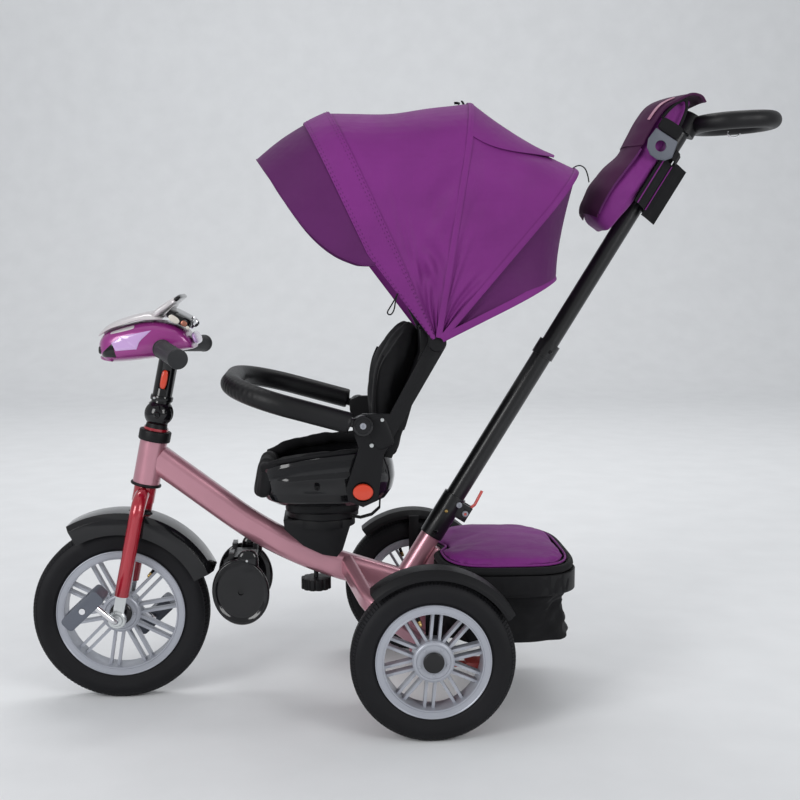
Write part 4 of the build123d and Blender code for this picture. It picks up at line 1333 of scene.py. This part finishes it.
lip = soft_form(lip_rule, 56, 36)
padded(lip, 5, voxel=5, pressure=3.0)
crumple(lip, (1.1, 5, 16, 9, 0.0), (0.7, 9, 31, 14, 1.7))
done(lip, "seat_front_lip", "seat", "black_cloth", angle=60)
rim_line = []
for k in range(97):
    a = -0.93 * pi + 1.86 * pi * k / 96
    x = SEAT_MID + (SEAT_LONG - 7) * signed(cos(a), 0.55)
    y = (SEAT_WIDE - 7) * signed(sin(a), 0.55)
    rim_line.append(side(x, along_list(RIM, x) + 1.6, y))
done(rod(rim_line, 2.4 * MM, order=3), "seat_piping", "seat", "black_cloth")
BOLSTER_LINE = [(96, 434, 107), (130, 436, 109), (170, 432, 110), (210, 426, 108), (244, 417, 100), (266, 408, 84)]
rolls = []
for s in both:
    line = [side(x, z, s * y) for x, z, y in BOLSTER_LINE]
    rolls.append(rod(line, 9.5 * MM, order=3, sides=6))
bolsters = joined(rolls)
crumple(bolsters, (1.2, 17, 4, 5, 0.0), (0.6, 38, 9, 2, 0.8))
done(bolsters, "seat_side_bolsters", "seat", "black_cloth", angle=60)

# %% [markdown]
# ## The backrest
# The cover is sewn over thin foam with a bolster down each side. It is a soft slab in the CAD pad's outline,
# swollen by the solver, with long vertical folds where the cloth is slack.


# %% The backrest's cover
BACK_FRONT = [(430, 88), (440, 93), (480, 95), (523, 96), (575, 90), (612, 73), (640, 54), (654, 43)]
BACK_REAR = [(430, 73), (487, 52), (552, 34), (604, 16), (640, 13), (648, 20), (654, 30)]


def back_rule(x, y, z):
    bx, by, bz = box_dir(x, y, z, 5)
    height = 542 + 111 * bz
    front, rear = smooth_list(BACK_FRONT, height), smooth_list(BACK_REAR, height)
    middle, thick = (front + rear) / 2, (front - rear) / 2 - 3
    wide = 106 - 22 * max(0.0, bz) ** 5
    hollow = 16 * (1 - abs(by) ** 3) if bx > 0 else 0
    return side(middle + thick * bx - hollow * max(0.0, bx), height, wide * by)


back = soft_form(back_rule, 72, 48)
padded(back, 8, voxel=6, pressure=3.0)


def loose(p):
    return 1.0 if p.z > 0.44 else 0.4


crumple(back, (3.0, 3, 11, 1.0, 0.4), (1.2, 21, 4, 6, 1.2), (0.8, 6, 23, 11, 0.2),
        (0.5, 41, 6, 9, 2.1), where=loose)
done(back, "backrest_cover", "backrest", "black_cloth", angle=60, replaces=["backrest_pad"])
edges = []
for s in both:
    edges.append(rod([side(smooth_list(BACK_FRONT, z) - 9, z, s * (103.5 - 20 * max(0, (z - 600) / 55) ** 3))
                      for z in range(436, 606, 9)], 2.1 * MM, order=3))
done(joined(edges), "backrest_piping", "backrest", "black_cloth")
rear_bag = soft_box((52, 462), (11, 104, 36), 4, 48, 30, lean=9)
crumple(rear_bag, (1.5, 7, 11, 9, 0.0), (0.8, 3, 29, 17, 1.0))
done(rear_bag, "backrest_skirt", "backrest", "black_cloth", angle=60)

# %% The recline arms' covers, rivets and the oval buttons
knobs, hinge = [], []
for s in both:
    for x, z, r in ((92, 456, 3.6), (75, 497, 3.2)):
        knobs.append(rivet(side(x, z, s * 143), LEFT * s, r))
    hinge.append(bar_form((78, 476, s * 139.5), (17, 3.6, 27), -22, power=4))
done(joined(knobs), "recline_rivets", "backrest", "zinc")
done(joined(hinge), "recline_hinge_covers", "backrest", "matte_black")
for hand, s in (("left", 1), ("right", -1)):
    at = side(106, 380, s * 141)
    wide = turned(at, LEFT * s, [(0.1, -3), (16.2, -3), (16.2, 3.2), (15.0, 4.6), (12, 5.2), (0.1, 5.4)], 48)
    only(wide)
    for vertex in wide.data.vertices:
        vertex.co.z = at.z + (vertex.co.z - at.z) * 0.80
    done(wide, f"recline_oval_{hand}", f"recline_button_{hand}", "orange_plastic",
         replaces=[f"recline_button_{hand}"])

# %% [markdown]
# ## The trunk
# A soft tub hangs from a rigid band, and a padded lid with a black edge lies on top. All three share one
# rounded plan, drawn once at a given inset. In front it steps back to leave room for the pole's post.


# %% The trunk's plan and its skins
def trunk_place(v, z, inset, wave=0.0, notch=-52.0, notch_half=36):
    """A place on the trunk's plan, v going once round, at a height and an inset in mm."""
    a = 2 * pi * v
    hx, hy = 117 - inset, 156 - inset
    cx, cy = signed(cos(a), 0.52), signed(sin(a), 0.52)
    x, y = -135 + (hx + wave) * cx, (hy + wave) * cy
    if abs(y) < notch_half:
        x = min(x, notch)
    return side(x, z, y)


TUB = [(0.0, 208, 8), (0.10, 202, 10), (0.25, 190, 17), (0.42, 177, 20), (0.60, 160, 15), (0.76, 144, 10),
       (0.88, 131, 6), (0.92, 127.5, 7), (0.96, 127, 60), (1.0, 127, 110)]
TUB_HEIGHT, TUB_INSET = [(u, z) for u, z, _ in TUB], [(u, inset) for u, _, inset in TUB]


def tub_point(u, v):
    z, inset = along_list(TUB_HEIGHT, u), along_list(TUB_INSET, u)
    a = 2 * pi * v
    folds = (3.0 * sin(7 * a + 5 * u) + 1.6 * sin(11 * a - 6 * u + 1)) * min(1, u * 5)
    folds += 1.4 * sin(26 * u + 4 * sin(3 * a)) * (1 if u < 0.9 else 0)
    if u > 0.93:
        folds *= 0.2
    return trunk_place(v, z, inset, min(3.0, folds))


tub = sheet_by(tub_point, 56, 260, wrap=True)
edit(tub, outward)
cloth_shell(tub, 1.2)
done(tub, "trunk_tub_cloth", "frame", "black_cloth", angle=60, replaces=["trunk_tub"])


def skin_point(u, v):
    z = 241 - 37 * u
    swell = 1.2 * sin(pi * u) + 0.5 * sin(2 * pi * v * 21 + 6 * u) + 0.4 * sin(2 * pi * v * 43 + 3)
    return trunk_place(v, z, 0.0 + 6 * max(0, u - 0.86) / 0.14, swell, -51)


skin = sheet_by(skin_point, 14, 260, wrap=False)
edit(skin, lambda: bpy.ops.mesh.remove_doubles(threshold=0.00002), outward)
cloth_shell(skin, 0.9)
done(skin, "trunk_band_cloth", "frame", "black_cloth", angle=60)
lid_edge = [trunk_place(k / 120, 247.5, 5.5, 0, -44, 26) for k in range(120)]
edge_roll = rod(lid_edge, 6.2 * MM, order=3, closed=True, sides=5)
done(edge_roll, "trunk_lid_edge", "trunk_lid", "black_cloth", angle=60)
under = sheet_by(lambda u, v: trunk_place(v, 241.5, 5 + 105 * u, 0, -44, 26), 8, 120, wrap=True)
modify(under, "SOLIDIFY", thickness=1.0 * MM, offset=1)
done(under, "trunk_lid_underside", "trunk_lid", "black_cloth")


def lid_rule(x, y, z):
    bx, by, bz = box_dir(x, y, z, 3.6)
    px, py = -135 + 106 * bx, 145 * by
    if abs(py) < 26:
        px = min(px, -44)
    crown = 7.0 * (1 - bx * bx) * (1 - by * by)
    return side(px, 250.5 + (6 + crown) * bz if bz > 0 else 250.5 + 5 * bz, py)


lid = soft_form(lid_rule, 96, 40)
padded(lid, 9, voxel=6, pressure=3.0, pinned=lambda p: p.z < 0.2475)
crumple(lid, (0.5, 9, 5, 0, 0.3), (0.35, 4, 17, 0, 1.1))
done(lid, "trunk_lid_pad", "trunk_lid", "purple_cloth", angle=60, replaces=["trunk_lid"])
piping = [trunk_place(k / 120, 255.2, 12.5, 0, -46, 26) for k in range(120)]
done(rod(piping, 1.9 * MM, order=3, closed=True), "trunk_lid_piping", "trunk_lid", "purple_cloth")

# %% [markdown]
# ## The bag on the push pole
# A padded bag is strapped in front of the upper tube. Its front is a dark mesh, its sides are bright satin
# that folds inward, and a flap with a plain reflective stripe comes over the top.

# %% The bag
BAG_EDGE = [(594, 34), (602, 46), (612, 52), (652, 55), (694, 52), (727, 49), (753, 50), (778, 52), (815, 50),
            (838, 40), (852, 28), (858, 20)]
BAG_DOME = [(594, 12), (625, 20), (677, 22), (727, 14), (784, 14), (830, 12), (858, 4)]


def bag_front(t, y):
    """How far forward of the pole the bag's front is."""
    across = min(1.0, abs(y) / 58)
    return smooth_list(BAG_EDGE, t) + smooth_list(BAG_DOME, t) * (1 - across ** 2.2)


def bag_rule(x, y, z):
    bx, by, bz = box_dir(x, y, z, 6)
    t = 727 + 130 * bz
    front = bag_front(t, 58 * by)
    n = 16.5 + (front - 16.5) * (bx + 1) / 2
    tuck = 6.0 * 2.718 ** -(((t - 822 - 0.9 * (n - 30)) / 13) ** 2) + 3.0 * 2.718 ** -(((n - 34) / 7) ** 2)
    wide = 57 - tuck * min(1.0, abs(by) ** 8)
    return pole(n, wide * by, t)


bag = soft_form(bag_rule, 72, 56)
padded(bag, 4, voxel=5, pressure=2.0)
crumple(bag, (1.0, 8, 3, 9, 0.6), (0.8, 19, 5, 6, 1.9), (0.5, 5, 11, 27, 0.2))
done(bag, "push_bag_body", "pole_upper", "purple_cloth", angle=60, replaces=["push_bag"])


def bag_panel(t0, t1, half, lift, columns=40, rows=28, start=None):
    def rule(u, v):
        t, y = t0 + (t1 - t0) * u, (2 * v - 1) * half
        edge = 1.6 * abs(2 * v - 1) ** 8
        return pole(bag_front(t, y) + lift - edge, y, t)

    obj = sheet_by(rule, columns, rows)
    middle_face = obj.data.polygons[len(obj.data.polygons) // 2]
    if middle_face.normal.dot(pole(1, 0, 0) - pole(0, 0, 0)) < 0:
        edit(obj, bpy.ops.mesh.flip_normals)
    return obj


mesh_front = bag_panel(606, 748, 57.5, 6.5)
crumple(mesh_front, (0.8, 6, 13, 4, 0.0), (0.5, 3, 5, 31, 1.0))
modify(mesh_front, "SOLIDIFY", thickness=1.6 * MM, offset=-1)
done(mesh_front, "push_bag_front", "pole_upper", PLUM_MESH, slot="purple_cloth", angle=60)


def flap_place(u, v):
    """From the flap's free edge, up over the front, across the top and down to the pole."""
    y = (2 * v - 1) * 60.5
    corner = 10 * abs(2 * v - 1) ** 4
    path = [(738 + corner, None), (760, None), (790, None), (820, None), (845, None), (861, 30), (867, 14),
            (862, 2)]
    k = min(len(path) - 2, int(u * (len(path) - 1)))
    f = u * (len(path) - 1) - k

    def spot(i):
        t, n = path[i]
        if n is None:
            n = bag_front(t, y) + 8.0 - 1.5 * abs(2 * v - 1) ** 6
        return pole(n, y, t - 3 * abs(2 * v - 1) ** 4)

    before, a, b, after = spot(max(0, k - 1)), spot(k), spot(k + 1), spot(min(len(path) - 1, k + 2))
    return 0.5 * ((2 * a) + (b - before) * f + (2 * before - 5 * a + 4 * b - after) * f * f
                  + (3 * a - before - 3 * b + after) * f ** 3)


flap_cover = sheet_by(flap_place, 56, 36)
middle_face = flap_cover.data.polygons[len(flap_cover.data.polygons) // 3]
if middle_face.normal.dot(pole(1, 0, 0) - pole(0, 0, 0)) < 0:
    edit(flap_cover, bpy.ops.mesh.flip_normals)
crumple(flap_cover, (0.7, 4, 9, 3, 0.2), (0.4, 9, 23, 5, 1.4))
modify(flap_cover, "SOLIDIFY", thickness=2.0 * MM, offset=-1)
done(flap_cover, "push_bag_flap", "pole_upper", PLUM_MESH, slot="purple_cloth", angle=60)
binding = [flap_place(u / 40, 0.999) for u in range(40, -1, -1)]
binding += [flap_place(0.0, 1 - v / 30) for v in range(1, 30)]
binding += [flap_place(u / 40, 0.001) for u in range(41)]
done(rod(binding, 1.2 * MM, order=3), "push_bag_flap_binding", "pole_upper", PLUM_MESH, slot="purple_cloth")
proud = (pole(1, 0, 0) - pole(0, 0, 0)) * 1.1
ribbon = sheet_by(lambda u, v: flap_place(0.28 + 0.27 * u, 0.86 + 0.05 * v) + proud, 24, 3)
modify(ribbon, "SOLIDIFY", thickness=0.5 * MM, offset=0)
done(ribbon, "push_bag_reflective_stripe", "pole_upper", ROSE_TAPE, slot="silver_plastic")
MOUTH = [(17, 800), (20, 826), (26, 840), (34, 846), (42, 834), (48, 816), (50, 800)]
trims = [rod([pole(n, s * 57.0, t) for n, t in MOUTH], 2.6 * MM, order=3) for s in both]
done(joined(trims), "push_bag_mouth_trim", "pole_upper", "black_cloth")
front_seam = []
for s in both:
    line = [pole(bag_front(t, 57) + 3.2, s * 58, t) for t in range(613, 746, 7)]
    front_seam.append(rod(line, 1.8 * MM, order=3))
done(joined(front_seam), "push_bag_front_piping", "pole_upper", DARK_PURPLE, slot="purple_cloth")


# %% [markdown]
# The bag is held by a wrap behind the tube that closes with a rough-and-loop flap. A grey plastic tongue
# with a hole hangs from a black strap on the left for a cup holder.


# %% The wrap, the strap block and the tongue's edge
def wrap_sheet(name, path, t0, t1, thickness=1.8, finish="black_cloth"):
    """A sheet that follows a path of (forward, sideways) round the tube, between two heights along it."""
    def rule(u, v):
        k = min(len(path) - 2, int(u * (len(path) - 1)))
        f = u * (len(path) - 1) - k
        f = f * f * (3 - 2 * f) * 0.35 + f * 0.65
        n = path[k][0] + (path[k + 1][0] - path[k][0]) * f
        y = path[k][1] + (path[k + 1][1] - path[k][1]) * f
        return pole(n, y, t0 + (t1 - t0) * v)

    obj = sheet_by(rule, 40, 16)
    modify(obj, "SOLIDIFY", thickness=thickness * MM, offset=0)
    done(obj, name, "pole_upper", finish, angle=60)
    return obj


WRAP_PATH = [(15, 50), (4, 44), (-8, 32), (-17, 14), (-18.5, -6), (-12, -28), (0, -44), (15, -52)]
wrap_sheet("push_bag_wrap", WRAP_PATH, 664, 750)
wrap_sheet("push_bag_closure", [(-12, 27), (-22, 24), (-32, 17), (-42, 11)], 654, 757, 2.4)
for at, name in (((-13, 28.5), "fold"), ((8.5, 48), "edge")):
    line = [pole(at[0], at[1], t) for t in range(664, 752, 6)]
    done(rod(line, 1.1 * MM, order=3), f"push_bag_pink_{name}", "pole_upper", "purple_cloth")


def on_pole(obj, n, y, t):
    """Move a piece modelled about the origin (x forward, z along the tube) on to the tube's axes."""
    for vertex in obj.data.vertices:
        c = vertex.co / MM
        vertex.co = pole(n + c.x, y + c.y, t + c.z)
    return obj


def free_bar(half, power=5, around=36, rings=20):
    def rule(x, y, z):
        bx, by, bz = box_dir(x, y, z, power)
        return Vector((bx * half[0], by * half[1], bz * half[2])) * MM

    return soft_form(rule, around, rings)


block_piece = on_pole(free_bar((20, 4.5, 11)), 30, 63.5, 791)
done(block_piece, "cup_clip_strap", "pole_upper", "black_cloth")
TONGUE = [(51, 779), (53, 757), (47, 744), (36, 737), (22, 736.5), (10, 742), (2, 752), (8, 779)]


def tongue_point(u, v):
    """A plate with a hole: u runs from the hole's rim to the outline, v goes round."""
    a = 2 * pi * v
    hole = Vector((cos(a), sin(a))) * 9.3 + Vector((29, 758.0))
    count = len(TONGUE)
    s = ((0.12 - v) % 1.0) * count
    k = int(s) % count
    p = Vector(TONGUE[k]).lerp(Vector(TONGUE[(k + 1) % count]), s - int(s))
    place = hole.lerp(p, u)
    return pole(place.x, 66.2 + 0.8 * (1 - u) - 0.9 * (u > 0.98), place.y)


tongue = sheet_by(tongue_point, 10, 96, wrap=False)
edit(tongue, lambda: bpy.ops.mesh.remove_doubles(threshold=0.00002))
if tongue.data.polygons[40].normal.y < 0:
    edit(tongue, bpy.ops.mesh.flip_normals)
modify(tongue, "SOLIDIFY", thickness=3.4 * MM, offset=-1)
modify(tongue, "BEVEL", width=0.7 * MM, segments=2, limit_method="ANGLE", angle_limit=radians(50))
done(tongue, "cup_clip_tongue", "pole_upper", "grey_plastic", replaces=["cup_clip"])
rear_strap = [(2, 62), (-8, 50), (-16, 30), (-19, 6), (-19, -6)]
strap_n = [(i / 4, n) for i, (n, _) in enumerate(rear_strap)]
strap_y = [(i / 4, y) for i, (_, y) in enumerate(rear_strap)]
strap_sheet = sheet_by(lambda u, v: pole(along_list(strap_n, u), along_list(strap_y, u), 752 + 16 * v), 24, 4)
modify(strap_sheet, "SOLIDIFY", thickness=1.8 * MM, offset=0)
done(strap_sheet, "cup_clip_rear_strap", "pole_upper", "black_cloth")

# %% [markdown]
# ## Fasteners on the pole
# The pole's collar has a clamp screw, and the socket is bolted to the post. A short box with rounded edges
# is welded to the rear of the post for the lever's bolt.

# %% Bolts, the collar's screw, the post's box and the handle's ring
heads, brass_heads, black_heads = [], [], []
for s in both:
    heads.append(bolt(pole(-11, s * 19.0, 72), LEFT * s, 5.2))
    heads.append(bolt(pole(-29, s * 15.2, 64), LEFT * s, 5.4))
    brass_heads.append(bolt(pole(3, s * 20.6, 52), LEFT * s, 3.2))
    black_heads.append(bolt(pole(0, s * 20.4, 12), LEFT * s, 4.6))
    black_heads.append(bolt(pole(-6, s * 19.6, 378), LEFT * s, 3.2))
done(joined(heads), "pole_socket_bolts", "frame", "rim_grey")
done(joined(brass_heads), "pole_socket_brass_screws", "frame", BRASS, slot="zinc")
done(joined(black_heads[0::2]), "pole_socket_black_screws", "frame", "gloss_black")
done(joined(black_heads[1::2]), "pole_collar_screws", "pole_lower", "gloss_black")
box_piece = on_pole(free_bar((8.5, 13, 19), 8), -25, 0, -32)
done(box_piece, "post_lug", "frame", "pink_paint")
LOOP_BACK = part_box("push_handle")
ring_path = [Vector((LOOP_BACK[0].x + 0.062, -0.046, 0.972)) + Vector((0.011 * cos(a), 0.0, 0.007 * sin(a)))
             for a in (2 * pi * k / 24 for k in range(24))]
done(rod(ring_path, 1.5 * MM, order=3, closed=True), "push_handle_ring", "pole_upper", "chrome")

# %% [markdown]
# ## The folding footrests
# Each footrest is a glossy oval dish with a raised rim on its outer face. A round knuckle joins it to the
# bracket under the tube.

# %% The dishes and their knuckles
DISH_MID, DISH_LONG, DISH_TALL, DISH_LEAN = (310.0, 196.0), 48.0, 57.0, radians(-8)
DISH_LINE = [(0.0, 0.1, 1.5), (0.30, 0.50, 2.2), (0.48, 0.80, 2.6), (0.56, 0.86, 4.6), (0.62, 0.90, 5.6),
             (0.68, 0.95, 5.2), (0.74, 0.99, 3.0), (0.80, 1.0, 0.0), (0.86, 0.985, -3.2), (0.92, 0.94, -4.6),
             (1.0, 0.1, -4.8)]
DISH_REACH, DISH_PROUD = [(u, r) for u, r, _ in DISH_LINE], [(u, h) for u, _, h in DISH_LINE]


def dish_point(u, v, s):
    """u runs from the outer face's middle over the rim to the inner face, and v goes round."""
    reach, proud = along_list(DISH_REACH, u), along_list(DISH_PROUD, u)
    a = 2 * pi * v
    long, tall = DISH_LONG * reach * cos(a), DISH_TALL * reach * sin(a)
    return side(DISH_MID[0] + long * cos(DISH_LEAN) - tall * sin(DISH_LEAN),
                DISH_MID[1] + long * sin(DISH_LEAN) + tall * cos(DISH_LEAN), s * (60 + proud))


for hand, s in (("left", 1), ("right", -1)):
    dish = sheet_by(lambda u, v, s=s: dish_point(u, v, s), 50, 96, wrap=True)
    edit(dish, outward)
    knuckle = soft_form(lambda x, y, z, s=s: side(298 + 18 * box_dir(x, y, z, 2.6)[0],
                                                  246 + 21 * box_dir(x, y, z, 2.6)[2],
                                                  s * (56 + 8.5 * box_dir(x, y, z, 2.6)[1])), 40, 24)
    done(joined([dish, knuckle]), f"footrest_{hand}_dish", f"footrest_{hand}", "gloss_black", angle=50,
         replaces=[f"footrest_{hand}"])
    done(rivet(side(299, 250, s * 64), LEFT * s, 2.2), f"footrest_{hand}_pin", f"footrest_{hand}", "zinc")
